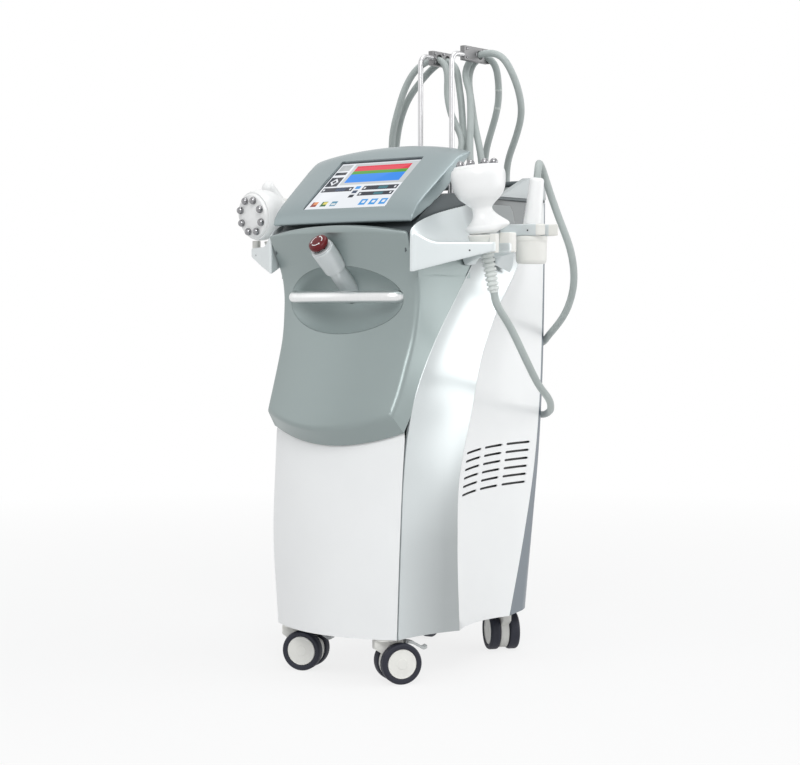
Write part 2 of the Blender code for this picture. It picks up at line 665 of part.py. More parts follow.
def shield_grid(inset):
    """Grid of the shield: chamfered foot, face, lip at the top, and a flank down each side."""
    across = np.array([-1.0, -0.86, -0.66, -0.44, -0.22, 0.0, 0.22, 0.44, 0.66, 0.86, 1.0])
    bow = across**2
    rows = []
    foot = SHIELD_FOOT + SHIELD_FOOT_RISE * bow
    corner_x = body_line(CORNER_SHARES, foot)[0] + SEAM_GAP
    foot_depth = panel_depth(corner_x * across * 0.999, foot) - SEAM_GAP
    rows.append((corner_x * across, foot_depth - SKIN, foot))
    low = SHIELD_FACE_FOOT + SHIELD_FACE_FOOT_RISE * bow
    top = SHIELD_TOP + SHIELD_TOP_ARCH * (1 - bow)
    for share in np.linspace(0, 1, SHIELD_ROWS):
        z = low + (top - low) * share
        crease_x = body_line(CREASE_SHARES, z)[0]
        rows.append((crease_x * across, shield_depth(crease_x * across, z), z))
    crease_x = rows[-1][0]
    lip = np.minimum(rows[-1][1] + SKIN, SHIELD_LIP_BACK - SEAM_GAP)
    rows.append((crease_x, (lip + SHIELD_LIP_BACK) / 2, top + SKIN))
    rows.append((crease_x, np.full_like(top, SHIELD_LIP_BACK), top + SKIN))
    x = np.array([row[0] for row in rows])
    y = np.array([row[1] for row in rows])
    z = np.array([row[2] for row in rows])
    flank_x, flank_y = body_line(STRIP_SHARES, z[:, -1])
    over = z[:, -1] > SHIELD_FLANK_TOP
    flank_x = np.where(over, x[:, -1] - SEAM_GAP, flank_x)
    flank_y = np.where(over, y[:, -1] + SHIELD_RETURN, flank_y)
    flank_y[-2:] = y[-2:, -1]
    flank_y[-2:] += np.array([SEAM_GAP, SEAM_GAP]) / 4
    flank_x[0], flank_y[0] = x[0, -1] + SEAM_GAP / 2, y[0, -1] + SEAM_GAP * 4
    mid_x, mid_y = (flank_x + x[:, -1]) / 2, (flank_y + y[:, -1]) / 2
    left, right = np.stack([-flank_x, -mid_x], 1), np.stack([mid_x, flank_x], 1)
    x = np.concatenate([left, x, right], 1)
    left, right = np.stack([flank_y, mid_y], 1), np.stack([mid_y, flank_y], 1)
    y = np.concatenate([left, y, right], 1)
    z = np.concatenate([z[:, :1], z[:, :1], z, z[:, -1:], z[:, -1:]], 1)
    if inset:
        x = x * (1 - inset / HALF_WIDTH)
        share = np.ones(x.shape[1])
        share[[0, 1, -2, -1]] = (0, 0.4, 0.4, 0)
        y = y + inset * share
        z[-2:] -= inset
        z[-3] -= inset / 2
    return stack(x, y, z)


def make_dish_and_shield():
    shield = grid_solid("front_shield", shield_grid(0.0), shield_grid(SKIN), "silver")
    steps = 28
    turn = np.linspace(0, 2 * math.pi, steps, endpoint=False)[None, :]
    hole = bpy.data.meshes.new("dish_hole")
    work = bmesh.new()
    bmesh.ops.create_cone(work, cap_ends=True, segments=steps, radius1=1, radius2=1, depth=1)
    work.to_mesh(hole)
    work.free()
    cutter = place("dish_hole", hole, None, CUTTERS)
    cutter.matrix_world = (
        Matrix.Translation((0, -HALF_DEPTH / 2 - SHIELD_BULGE * 2, DISH_HEIGHT))
        @ Matrix.Rotation(math.radians(90), 4, "X")
        @ Matrix.Diagonal((DISH_HALF_LENGTH, DISH_HALF_HEIGHT, HALF_DEPTH, 1))
    )
    boolean(shield, cutter)
    shares = np.array([0.06, 0.4, 0.72, 0.92, 1.0])[:, None]
    shrink = 1 - SEAM_GAP / DISH_HALF_HEIGHT
    x = DISH_HALF_LENGTH * shares * shrink * np.cos(turn)
    z = DISH_HEIGHT + DISH_HALF_HEIGHT * shares * shrink * np.sin(turn)
    y = shield_depth(x, z) + DISH_DEPTH * (1 - shares**2)
    dish = grid_solid("hand_dish", stack(x, y, z), stack(x, y + SKIN, z), "silver", loop=True)
    return shield, dish


def grip_points():
    """The grip bar's line: a gentle bow whose ends run back into the dish."""
    share = np.linspace(-1, 1, 11)
    end_y = float(shield_depth(np.array(GRIP_HALF_LENGTH), np.array(GRIP_HEIGHT)))
    y = end_y - GRIP_BOW * (1 - share**2) - GRIP_RADIUS / 2
    bar = np.stack([share * GRIP_HALF_LENGTH, y, np.full_like(share, GRIP_HEIGHT)], 1)
    hook = [(GRIP_HALF_LENGTH + GRIP_TUCK * t, bar[-1, 1] + GRIP_TUCK * d) for t, d in GRIP_HOOK_SHARES]
    first = [[-x, y, GRIP_HEIGHT] for x, y in hook[::-1]]
    last = [[x, y, GRIP_HEIGHT] for x, y in hook]
    return np.concatenate([first, bar, last])


def make_grip(dish, shield):
    tube("grip_bar", grip_points(), GRIP_RADIUS, "steel", 3)
    cutter = to_mesh(tube("grip_cutter", grip_points(), GRIP_RADIUS + SEAM_GAP * 1.2, None, 3, CUTTERS))
    boolean(dish, cutter)
    boolean(shield, cutter)


def stalk_axis():
    return Vector((0, -math.cos(STALK_TILT), math.sin(STALK_TILT)))


def make_stalk(dish, shield):
    foot = Vector((0, STALK_FOOT_Y, STALK_FOOT_Z))
    axis = stalk_axis()
    top = NECK_LENGTH + SLEEVE_LENGTH
    profile = [
        (0, top), (SLEEVE_RADIUS - SKIN / 2, top), (SLEEVE_RADIUS, top - SKIN),
        (SLEEVE_RADIUS, NECK_LENGTH + SKIN / 2), (SLEEVE_RADIUS - SKIN / 3, NECK_LENGTH),
        (NECK_RADIUS, NECK_LENGTH), (NECK_RADIUS, -STALK_TUCK), (0, -STALK_TUCK),
    ]
    aim(turned("stop_stalk", profile, "silver", 20), foot, axis)
    hole = rod("stalk_cutter", NECK_RADIUS + TOUCH_GAP, NECK_LENGTH + STALK_TUCK * 2, None, 20, CUTTERS)
    aim(hole, foot - axis * STALK_TUCK * 2, axis)
    sleeve = rod("sleeve_cutter", SLEEVE_RADIUS + SEAM_GAP, SLEEVE_LENGTH * 2, None, 20, CUTTERS)
    aim(sleeve, foot + axis * (NECK_LENGTH - SEAM_GAP), axis)
    for piece in (dish, shield):
        boolean(piece, hole)
        boolean(piece, sleeve)
    ring_foot = top + TOUCH_GAP
    shank = BUTTON_SHANK_RADIUS + TOUCH_GAP
    ring = [
        (shank, RING_THICKNESS), (SLEEVE_RADIUS - SKIN / 2, RING_THICKNESS),
        (SLEEVE_RADIUS - SKIN / 2, 0), (shank, 0), (shank, RING_THICKNESS),
    ]
    aim(turned("stop_ring", ring, "cream", 20), foot + axis * ring_foot, axis)
    clear = RING_THICKNESS + BUTTON_TRAVEL + TOUCH_GAP
    button = [
        (0, clear + BUTTON_HEIGHT), (BUTTON_RADIUS * 0.62, clear + BUTTON_HEIGHT * 0.97),
        (BUTTON_RADIUS * 0.93, clear + BUTTON_HEIGHT * 0.80), (BUTTON_RADIUS, clear + BUTTON_HEIGHT * 0.45),
        (BUTTON_RADIUS * 0.93, clear), (BUTTON_SHANK_RADIUS, clear), (BUTTON_SHANK_RADIUS, TOUCH_GAP),
        (0, TOUCH_GAP),
    ]
    aim(turned("stop_button", button, "red", 20), foot + axis * ring_foot, axis)
    well = rod("button_well", BUTTON_SHANK_RADIUS + TOUCH_GAP, BUTTON_TRAVEL * 2, None, 20, CUTTERS)
    aim(well, foot + axis * (top - BUTTON_TRAVEL - TOUCH_GAP * 3), axis)
    boolean(bpy.data.objects["stop_stalk"], well)


def shell_rows():
    """Heights of the rows that the shell's pieces share, the shield's own rows among them."""
    foot = SHIELD_FOOT + SHIELD_FOOT_RISE
    low, high = SHIELD_FACE_FOOT + SHIELD_FACE_FOOT_RISE, SHIELD_TOP
    below = np.linspace(PLATE_LEVEL, foot, 5)
    above = np.linspace(high, SHELL_TOP, 3)[1:]
    return np.concatenate([below, np.linspace(low, high, SHIELD_ROWS), above])[:, None]


def band_grid(z, inset):
    """The silver side band: a hollow sweep from the strip line to the seam line."""
    strip_x, strip_y = body_line(STRIP_SHARES, z)
    seam_x, seam_y = body_line(SEAM_SHARES, z)
    across = np.linspace(0, 1, 4)[None, :]
    hollow = BAND_HOLLOW * 4 * across * (1 - across)
    strip_y, seam_y = strip_y + SEAM_GAP, seam_y - SHELL_SEAM
    x = strip_x + (seam_x - strip_x) * across - hollow - inset
    return stack(x, strip_y + (seam_y - strip_y) * across, z)


def side_grid(z, inset):
    """The white side panel: hollow between the seam line and the rear edge, deepest at its foot."""
    seam_x, seam_y = body_line(SEAM_SHARES, z)
    edge_x, edge_y = body_line(REAR_EDGE_SHARES, z)
    across = np.linspace(0, 1, 5)[None, :]
    share = (z - PLATE_LEVEL) / (SHELL_TOP - PLATE_LEVEL)
    depth = SIDE_HOLLOW_FOOT + (SIDE_HOLLOW_TOP - SIDE_HOLLOW_FOOT) * np.sqrt(np.clip(share, 0, 1))
    hollow = depth * 4 * across * (1 - across)
    seam_y, edge_y = seam_y + SHELL_SEAM, edge_y - SHELL_SEAM
    x = seam_x + (edge_x - seam_x) * across - hollow - inset
    return stack(x, seam_y + (edge_y - seam_y) * across, z)


def make_sides():
    z = shell_rows()
    for word, side in (("right", 1), ("left", -1)):
        outer, inner = band_grid(z, 0.0), band_grid(z, SKIN)
        grid_solid(word + "_side_band", mirror_x(outer, side), mirror_x(inner, side), "silver")
        outer, inner = side_grid(z, 0.0), side_grid(z, SKIN)
        panel = grid_solid(word + "_side_panel", mirror_x(outer, side), mirror_x(inner, side), "white")
        comb = bmesh.new()
        for row in range(VENT_ROWS):
            for low, high in VENT_SPAN_SHARES:
                droop = VENT_DROOP * (1 - (low + high) / 2) ** 4
                low, high = low * HALF_DEPTH - VENT_DRIFT * row, high * HALF_DEPTH - VENT_DRIFT * row
                middle = (side * HALF_WIDTH * 0.88, (low + high) / 2, VENT_TOP - VENT_PITCH * row - droop)
                made = bmesh.ops.create_cube(comb, size=1.0)["verts"]
                bmesh.ops.scale(comb, vec=(OVERRUN * 3, high - low, VENT_HEIGHT), verts=made)
                bmesh.ops.translate(comb, vec=middle, verts=made)
        mesh = bpy.data.meshes.new(word + "_vents")
        comb.to_mesh(mesh)
        comb.free()
        boolean(panel, place(word + "_vents", mesh, None, CUTTERS))


def back_depth(x, z):
    """Depth of the rear shell's outer face between its corners: two flat sheets that meet in the middle."""
    corner_x, corner_y = body_line(REAR_CORNER_SHARES, z)
    return corner_y + BACK_BULGE * (1 - np.abs(x) / corner_x)


def make_rear_panel():
    """The rear shell: short flanks from the side panels' rear edges, then the flat back."""
    z = shell_rows()
    edge_x, edge_y = body_line(REAR_EDGE_SHARES, z)
    corner_x, corner_y = body_line(REAR_CORNER_SHARES, z)
    mid_x = edge_x * 0.35 + corner_x * 0.65 + SKIN
    mid_y = edge_y * 0.35 + corner_y * 0.65
    zero = np.zeros_like(z)
    back_y = corner_y + BACK_BULGE
    x = np.concatenate([edge_x, mid_x, corner_x, zero, -corner_x, -mid_x, -edge_x], 1)
    y = np.concatenate([edge_y, mid_y, corner_y, back_y, corner_y, mid_y, edge_y], 1)
    x[:, 0] -= SEAM_GAP / 2
    x[:, -1] += SEAM_GAP / 2
    outer = stack(x, y, z)
    inner = stack(x * (1 - SKIN * 1.4 / edge_x), y - SKIN * np.array([0.2, 1, 1, 1, 1, 1, 0.2]), z)
    panel = grid_solid("rear_panel", outer, inner, "silver")
    opening = box("inlet_hole", (INLET_WIDTH + SEAM_GAP, HALF_DEPTH, INLET_HEIGHT + SEAM_GAP),
                  (0, HALF_DEPTH, INLET_Z), None, group=CUTTERS)
    boolean(panel, opening)


def deck_level(y):
    """Height of the deck: level at the back, and a slope down below the display case."""
    share = np.clip((y - DECK_FRONT_Y) / (DECK_KNEE_Y - DECK_FRONT_Y), 0, 1)
    return DECK_FRONT_LEVEL + (DECK_LEVEL - DECK_FRONT_LEVEL) * np.sin(share * math.pi / 2)


def make_deck():
    y = DECK_FRONT_Y + (DECK_BACK_Y - DECK_FRONT_Y) * np.array(DECK_ROW_SHARES)[:, None]
    half = np.interp(y, (DECK_FRONT_Y, DECK_KNEE_Y), (DECK_FRONT_HALF_WIDTH, DECK_HALF_WIDTH))
    x = half * np.array([-1, -0.5, 0, 0.5, 1])[None, :]
    z = deck_level(y) + 0 * x
    deck = grid_solid("top_deck", stack(x, y, z), stack(x, y, z - DECK_THICKNESS), "deck")
    for side in (1, -1):
        hole = rod("post_hole", POST_RADIUS + TOUCH_GAP, OVERRUN * 2, None, 16, CUTTERS)
        hole.location = (side * POST_X, POST_Y, DECK_LEVEL - OVERRUN)
        boolean(deck, hole)


def make_cheeks():
    outline = (
        (CHEEK_FRONT_Y, DECK_LEVEL + TOUCH_GAP), (CHEEK_PEAK_Y, CHEEK_PEAK_Z),
        (CHEEK_BACK_Y - SKIN * 2, CHEEK_PEAK_Z - SKIN), (CHEEK_BACK_Y, DECK_LEVEL + TOUCH_GAP),
    )
    for word, side in (("right", 1), ("left", -1)):
        curve = bpy.data.curves.new(word + "_cheek", "CURVE")
        curve.dimensions = "2D"
        curve.fill_mode = "BOTH"
        curve.extrude = CHEEK_THICKNESS / 2
        spline = curve.splines.new("POLY")
        spline.points.add(len(outline) - 1)
        spline.use_cyclic_u = True
        for point, (y, z) in zip(spline.points, outline):
            point.co = (y, z, 0, 1)
        cheek = place(word + "_cheek", curve, "silver")
        middle = side * (CHEEK_OUTER - CHEEK_THICKNESS / 2)
        cheek.matrix_world = Matrix(((0, 0, 1, middle), (1, 0, 0, 0), (0, 1, 0, 0), (0, 0, 0, 1)))
        cheek = to_mesh(cheek)
        bevel(cheek, SKIN)
    span = 2 * (CHEEK_OUTER - CHEEK_THICKNESS - TOUCH_GAP)
    box("push_bar", (span, PUSH_BAR_DEPTH, PUSH_BAR_HEIGHT), (0, PUSH_BAR_Y, PUSH_BAR_Z), "deck", SKIN * 2)


def tray_edge(y):
    """Outer reach of the tray at the depths y."""
    rows = np.array(TRAY_EDGE_SHARES)
    depths = TRAY_FRONT_Y + rows[:, 0] * (TRAY_BACK_Y - TRAY_FRONT_Y)
    return np.interp(y, depths, TRAY_INNER + SKIN * 2 + rows[:, 1] * (TRAY_REACH - TRAY_INNER - SKIN * 2))


def tray_levels(x, y):
    """Top and bottom of the tray: a flat holder floor, a scoop up to the deck, and a thick root."""
    back = np.clip((y - FRONT_HOLDER_Y - FRONT_SLOT_RADIUS * 2) / (FRONT_SLOT_RADIUS * 2), 0, 1)
    back = back * back * (3 - 2 * back)
    floor = TRAY_LEVEL + (TRAY_REAR_LEVEL - TRAY_LEVEL) * back
    rise = np.clip((TRAY_INNER + TRAY_SCOOP_WIDTH - x) / TRAY_SCOOP_WIDTH, 0, 1)
    start = np.clip((y - TRAY_FRONT_Y) / (CASE_SIDE_LENGTH * 0.9), 0, 1)
    crest = TRAY_LEVEL + TRAY_ROOT_RISE + (TRAY_SCOOP_TOP - TRAY_LEVEL - TRAY_ROOT_RISE) * np.sqrt(start)
    top = floor + (np.maximum(crest, floor) - floor) * rise**2
    reach = np.clip((x - TRAY_INNER) / (TRAY_REACH - TRAY_INNER), 0, 1)
    front = TRAY_ROOT_BOTTOM + (TRAY_TIP_BOTTOM - TRAY_ROOT_BOTTOM) * reach
    bottom = front + (TRAY_REAR_BOTTOM - front) * back * np.clip(reach * 3, 0, 1)
    return top, bottom


def make_trays():
    rows = np.array(TRAY_EDGE_SHARES)[:, 0]
    rows = np.sort(np.concatenate([rows, (rows[1:] + rows[:-1])[[1, 2]] / 2]))
    y = (TRAY_FRONT_Y + rows * (TRAY_BACK_Y - TRAY_FRONT_Y))[:, None]
    across = np.array([0, 0.14, 0.28, 0.45, 0.75, 1.0])[None, :]
    x = TRAY_INNER + (tray_edge(y) - TRAY_INNER) * across
    top, bottom = tray_levels(x, y)
    for word, side in (("right", 1), ("left", -1)):
        outer, inner = mirror_x(stack(x, y, top), side), mirror_x(stack(x, y, bottom), side)
        tray = grid_solid(word + "_tray", outer, inner, "silver")
        slots = (
            (FRONT_HOLDER_X, FRONT_HOLDER_Y, FRONT_SLOT_RADIUS),
            (REAR_HOLDER_X, REAR_HOLDER_Y, REAR_SLOT_RADIUS),
        )
        for holder_x, holder_y, radius in slots:
            hole = rod("slot_end", radius, OVERRUN * 8, None, 16, CUTTERS)
            hole.location = (side * holder_x, holder_y, TRAY_LEVEL - OVERRUN * 4)
            way = box("slot_way", (OVERRUN * 6, radius * 1.7, OVERRUN * 8),
                      (side * (holder_x + OVERRUN * 3), holder_y, TRAY_LEVEL), None, group=CUTTERS)
            boolean(tray, hole)
            boolean(tray, way)


def case_point(x, along, proud):
    """A point of the display case: across, up its slope from the front edge, and off its chord plane."""
    y = CASE_FRONT_Y + along * math.cos(CASE_TILT) - proud * math.sin(CASE_TILT)
    z = CASE_FRONT_Z + along * math.sin(CASE_TILT) + proud * math.cos(CASE_TILT)
    return stack(x, y, z)


def case_grid(back):
    share = np.array([0, 0.04, 0.1, 0.2, 0.4, 0.6, 0.8, 0.92, 1.0])[:, None]
    across = np.array([-1, -0.94, -0.75, -0.4, 0, 0.4, 0.75, 0.94, 1.0])[None, :]
    x = (CASE_HALF_WIDTH_FOOT + (CASE_HALF_WIDTH_TOP - CASE_HALF_WIDTH_FOOT) * share) * across
    along = share * (CASE_SIDE_LENGTH + CASE_ARCH * (1 - across**2))
    if back:
        depth = CASE_BACK_DEPTH * (CASE_BACK_EDGE_SHARE + (1 - CASE_BACK_EDGE_SHARE) * np.sin(share * math.pi))
        return case_point(x * (1 - SKIN / HALF_WIDTH), along, -depth)
    crown = CASE_CROWN * (1 - (2 * share - 1) ** 6) * (1 - CASE_SIDE_FALL_SHARE * across**6)
    return case_point(x, along, crown)


def case_frame():
    """Matrix of the case's slope: +X across, +Y up the slope, +Z out of the screen."""
    x, z = Vector((1, 0, 0)), Vector((0, -math.sin(CASE_TILT), math.cos(CASE_TILT)))
    y = z.cross(x)
    turn = Matrix((x, y, z)).transposed().to_4x4()
    return Matrix.Translation((0, CASE_FRONT_Y, CASE_FRONT_Z)) @ turn


def make_display():
    case = grid_solid("display_case", case_grid(False), case_grid(True), "silver")
    frame = case_frame()
    pocket_size = (SCREEN_WIDTH + SCREEN_CLEARANCE * 2, SCREEN_HEIGHT + SCREEN_CLEARANCE * 2, OVERRUN * 2)
    pocket = box("screen_pocket", pocket_size, (0, 0, 0), None, group=CUTTERS)
    floor = SCREEN_PROUD - SCREEN_THICKNESS - SCREEN_CLEARANCE
    pocket.matrix_world = frame @ Matrix.Translation((0, SCREEN_ALONG, floor + OVERRUN))
    boolean(case, pocket)
    screen = box("touch_screen", (SCREEN_WIDTH, SCREEN_HEIGHT, SCREEN_THICKNESS), (0, 0, 0), "screen")
    middle = SCREEN_PROUD - SCREEN_THICKNESS / 2
    screen.matrix_world = frame @ Matrix.Translation((0, SCREEN_ALONG, middle))
    hinge = frame @ Vector((0, HINGE_ALONG, -HINGE_DROP))
    knuckle = rod("knuckle", HINGE_RADIUS + TOUCH_GAP * 2, BRACKET_WIDTH + SKIN * 2, None, 20, CUTTERS)
    aim(knuckle, (-(BRACKET_WIDTH + SKIN * 2) / 2, hinge.y, hinge.z), (1, 0, 0), (0, 1, 0))
    foot = DECK_LEVEL + TOUCH_GAP
    block = box("display_bracket", (BRACKET_WIDTH, BRACKET_DEPTH, hinge.z - foot),
                (0, hinge.y + HINGE_RADIUS, (hinge.z + foot) / 2), "deck", SKIN / 2)
    barrel = rod("barrel", HINGE_RADIUS, BRACKET_WIDTH / 3, None, 20, CUTTERS)
    aim(barrel, (-BRACKET_WIDTH / 6, hinge.y, hinge.z), (1, 0, 0), (0, 1, 0))
    boolean(block, knuckle)
    lug = box("case_lug", (BRACKET_WIDTH / 3, HINGE_RADIUS * 1.6, HINGE_DROP), (0, 0, 0), None, group=CUTTERS)
    lug.matrix_world = frame @ Matrix.Translation((0, HINGE_ALONG, -HINGE_DROP / 2 - HINGE_RADIUS / 2))
    boolean(case, barrel, "UNION")
    boolean(case, lug, "UNION")
    tilt = bpy.data.objects.new("display_tilt", None)
    tilt.location = hinge
    PARTS.objects.link(tilt)
    for piece in (case, screen):
        piece.parent = tilt
        piece.matrix_parent_inverse = Matrix.Translation(-hinge)


def frame_at(origin, axis, roll):
    """Matrix with its origin at a point, +Z along an axis and +X near roll."""
    z = Vector(axis).normalized()
    x = Vector(roll) - z * Vector(roll).dot(z)
    x.normalize()
    return Matrix.Translation(origin) @ Matrix((x, z.cross(x), z)).transposed().to_4x4()


def make_big_handpiece(word, matrix):
    """Bowl body with its beak, and the electrode head with its ring of domes."""
    profile = [(r * RIM_RADIUS, h * BOWL_LENGTH) for r, h in BOWL_SHARES]
    body = turned(word + "_bowl_body", profile, "handpiece", 20)
    body.matrix_world = matrix
    profile = [(r * BEAK_RADIUS, h * BEAK_REACH) for r, h in BEAK_SHARES]
    beak = turned("beak", profile, None, 12, CUTTERS)
    beak.matrix_world = matrix @ frame_at((BEAK_ROOT, 0, BEAK_LEVEL), (1, 0, 0), (0, 1, 0))
    boolean(body, beak, "UNION")
    lift = BOWL_LENGTH + TOUCH_GAP
    rim = RIM_RADIUS * 0.9
    plate = [(0, lift + HEAD_THICKNESS), (rim - SKIN, lift + HEAD_THICKNESS), (rim, lift), (0, lift)]
    head = turned(word + "_electrode_head", plate, "handpiece", 20)
    head.matrix_world = matrix
    domes = bmesh.new()
    for n in range(DOME_COUNT):
        turn = 2 * math.pi * (n + 0.5) / DOME_COUNT
        spot = Vector((DOME_RING_RADIUS * math.cos(turn), DOME_RING_RADIUS * math.sin(turn), 0))
        spot.z = lift + HEAD_THICKNESS + DOME_RISE
        bmesh.ops.create_uvsphere(domes, u_segments=8, v_segments=4, radius=DOME_RADIUS,
                                  matrix=Matrix.Translation(spot))
    mesh = bpy.data.meshes.new("domes")
    domes.to_mesh(mesh)
    domes.free()
    ring = place("domes", mesh, None, CUTTERS)
    ring.matrix_world = matrix
    boolean(head, ring, "UNION")


def relief_profile():
    """Strain relief from its collar to its end: ribs of falling radius, then a plain end."""
    pitch = (RELIEF_LENGTH - RELIEF_COLLAR) / (RELIEF_RIBS + 0.5)
    profile = [(0, RELIEF_LENGTH), (RELIEF_END_RADIUS * 0.85, RELIEF_LENGTH)]
    for n in range(RELIEF_RIBS):
        share = n / (RELIEF_RIBS - 1)
        radius = RELIEF_END_RADIUS + (RELIEF_RIB_RADIUS - RELIEF_END_RADIUS) * share
        start = RELIEF_LENGTH - pitch * (n + 0.5)
        profile += [(radius * 0.80, start), (radius, start - pitch * 0.35), (radius, start - pitch * 0.65)]
    profile += [(RELIEF_RADIUS, RELIEF_COLLAR * 0.8), (RELIEF_RADIUS, 0), (0, 0)]
    return profile


def make_relief(word, seat, direction):
    """Ribbed strain relief from a point on a handpiece's seat; returns its end and its direction."""
    direction = Vector(direction).normalized()
    foot = Vector(seat) + direction * SEAT_CLEARANCE
    aim(turned(word + "_strain_relief", relief_profile(), "hose", 11), foot, direction)
    return foot + direction * RELIEF_LENGTH, direction


def leaning(angle, heading=LEAN_HEADING):
    """Upward direction that leans by an angle towards a heading round from +X."""
    return Vector((math.sin(angle) * math.cos(heading), math.sin(angle) * math.sin(heading), math.cos(angle)))


def make_right_handpieces():
    seat = Vector((FRONT_HOLDER_X, FRONT_HOLDER_Y, RIGHT_BIG_SEAT_Z))
    beak_side = (math.cos(LEAN_HEADING), math.sin(LEAN_HEADING), 0)
    make_big_handpiece("right", frame_at(seat, leaning(-RIGHT_BIG_LEAN), beak_side))
    big_end = make_relief("right", seat, -leaning(-RELIEF_LEAN))
    foot = Vector((REAR_HOLDER_X, REAR_HOLDER_Y, TRAY_REAR_BOTTOM - CUP_LENGTH + CUP_FLOOR + SKIN))
    foot -= Vector((math.sin(HANDLE_LEAN) * HANDLE_LENGTH / 4, 0, 0))
    axis = leaning(HANDLE_LEAN, 0)
    profile = [
        (0, HANDLE_LENGTH), (HANDLE_TOP_RADIUS - HANDLE_TOP_ROUND, HANDLE_LENGTH),
        (HANDLE_TOP_RADIUS, HANDLE_LENGTH - HANDLE_TOP_ROUND), (HANDLE_FOOT_RADIUS, HANDLE_LENGTH * 0.4),
        (HANDLE_FOOT_RADIUS, SKIN), (HANDLE_FOOT_RADIUS - SKIN, 0), (0, 0),
    ]
    aim(turned("right_small_handle", profile, "handpiece", 18), foot, axis)
    return big_end, (foot + axis * HANDLE_LENGTH, axis)


def make_left_handpieces():
    face = Vector((LEFT_FACE_X, LEFT_FACE_Y, LEFT_FACE_Z))
    flat = math.cos(LEFT_BIG_DIP)
    axis = Vector((-math.sin(LEFT_BIG_YAW) * flat, -math.cos(LEFT_BIG_YAW) * flat, -math.sin(LEFT_BIG_DIP)))
    seat = face - axis * (BOWL_LENGTH + HEAD_THICKNESS)
    make_big_handpiece("left", frame_at(seat, axis, (0, 0, 1)))
    big_end = make_relief("left", seat, -axis)
    flat = math.cos(WAND_LEAN)
    axis = Vector((-math.sin(WAND_YAW) * flat, -math.cos(WAND_YAW) * flat, math.sin(WAND_LEAN)))
    tip = Vector((WAND_TIP_X, WAND_TIP_Y, WAND_TIP_Z))
    foot = tip - axis * WAND_LENGTH
    profile = [(0, WAND_LENGTH)]
    for n in range(1, 5):
        turn = math.pi / 2 * n / 4
        profile.append((WAND_RADIUS * math.sin(turn), WAND_LENGTH - WAND_RADIUS * (1 - math.cos(turn))))
    profile += [(WAND_RADIUS, SKIN), (WAND_RADIUS - SKIN, 0), (0, 0)]
    aim(turned("left_small_wand", profile, "handpiece", 18), foot, axis)
    return big_end, (foot, -axis), axis


def make_holders(wand_foot, wand_axis):
    """Cream inserts: a ring on each front fork, a cup under the right rear fork, a socket on the left."""
    level = TRAY_LEVEL + TOUCH_GAP
    profile = [
        (HOLDER_BORE, level + HOLDER_HEIGHT - SKIN), (HOLDER_BORE + SKIN, level + HOLDER_HEIGHT),
        (HOLDER_RADIUS, level + HOLDER_HEIGHT), (HOLDER_RADIUS, level + HOLDER_HEIGHT - SKIN),
        (HOLDER_FOOT_RADIUS, level), (HOLDER_BORE, level), (HOLDER_BORE, level + HOLDER_HEIGHT - SKIN),
    ]
    for word, side in (("right", 1), ("left", -1)):
        ring = turned(word + "_front_holder", profile, "cream", 20)
        ring.location = (side * FRONT_HOLDER_X, FRONT_HOLDER_Y, 0)
        gate = box("holder_gate", (HOLDER_RADIUS * 2, HOLDER_GATE, OVERRUN * 4),
                   (side * (FRONT_HOLDER_X + HOLDER_RADIUS), FRONT_HOLDER_Y, level), None, group=CUTTERS)
        boolean(ring, gate)
    top = TRAY_REAR_BOTTOM - TOUCH_GAP
    foot = top - CUP_LENGTH
    profile = [
        (0, foot + CUP_FLOOR), (CUP_BORE, foot + CUP_FLOOR), (CUP_BORE, top), (CUP_RADIUS, top),
        (CUP_RADIUS, top - SKIN * 3), (CUP_RADIUS - SKIN / 3, top - SKIN * 3.5),
        (CUP_FOOT_RADIUS + SKIN, foot + SKIN * 2), (CUP_FOOT_RADIUS, foot), (0, foot),
    ]
    cup = turned("right_rear_cup", profile, "cream", 20)
    cup.location = (REAR_HOLDER_X, REAR_HOLDER_Y, 0)
    arm_foot = TRAY_REAR_LEVEL + TOUCH_GAP
    arm = box("left_wand_socket", (ARM_WIDTH, ARM_BACK_Y - ARM_FRONT_Y, ARM_TOP - arm_foot),
              (-ARM_X, (ARM_BACK_Y + ARM_FRONT_Y) / 2, (ARM_TOP + arm_foot) / 2), "cream", SKIN)
    band = rod("socket_band", SOCKET_RADIUS, SOCKET_LENGTH, None, 16, CUTTERS)
    bore = rod("socket_bore", SOCKET_BORE, SOCKET_LENGTH + OVERRUN * 2, None, 16, CUTTERS)
    aim(band, wand_foot + wand_axis * TOUCH_GAP, wand_axis)
    aim(bore, wand_foot - wand_axis * OVERRUN, wand_axis)
    boolean(arm, band, "UNION")
    boolean(arm, bore)


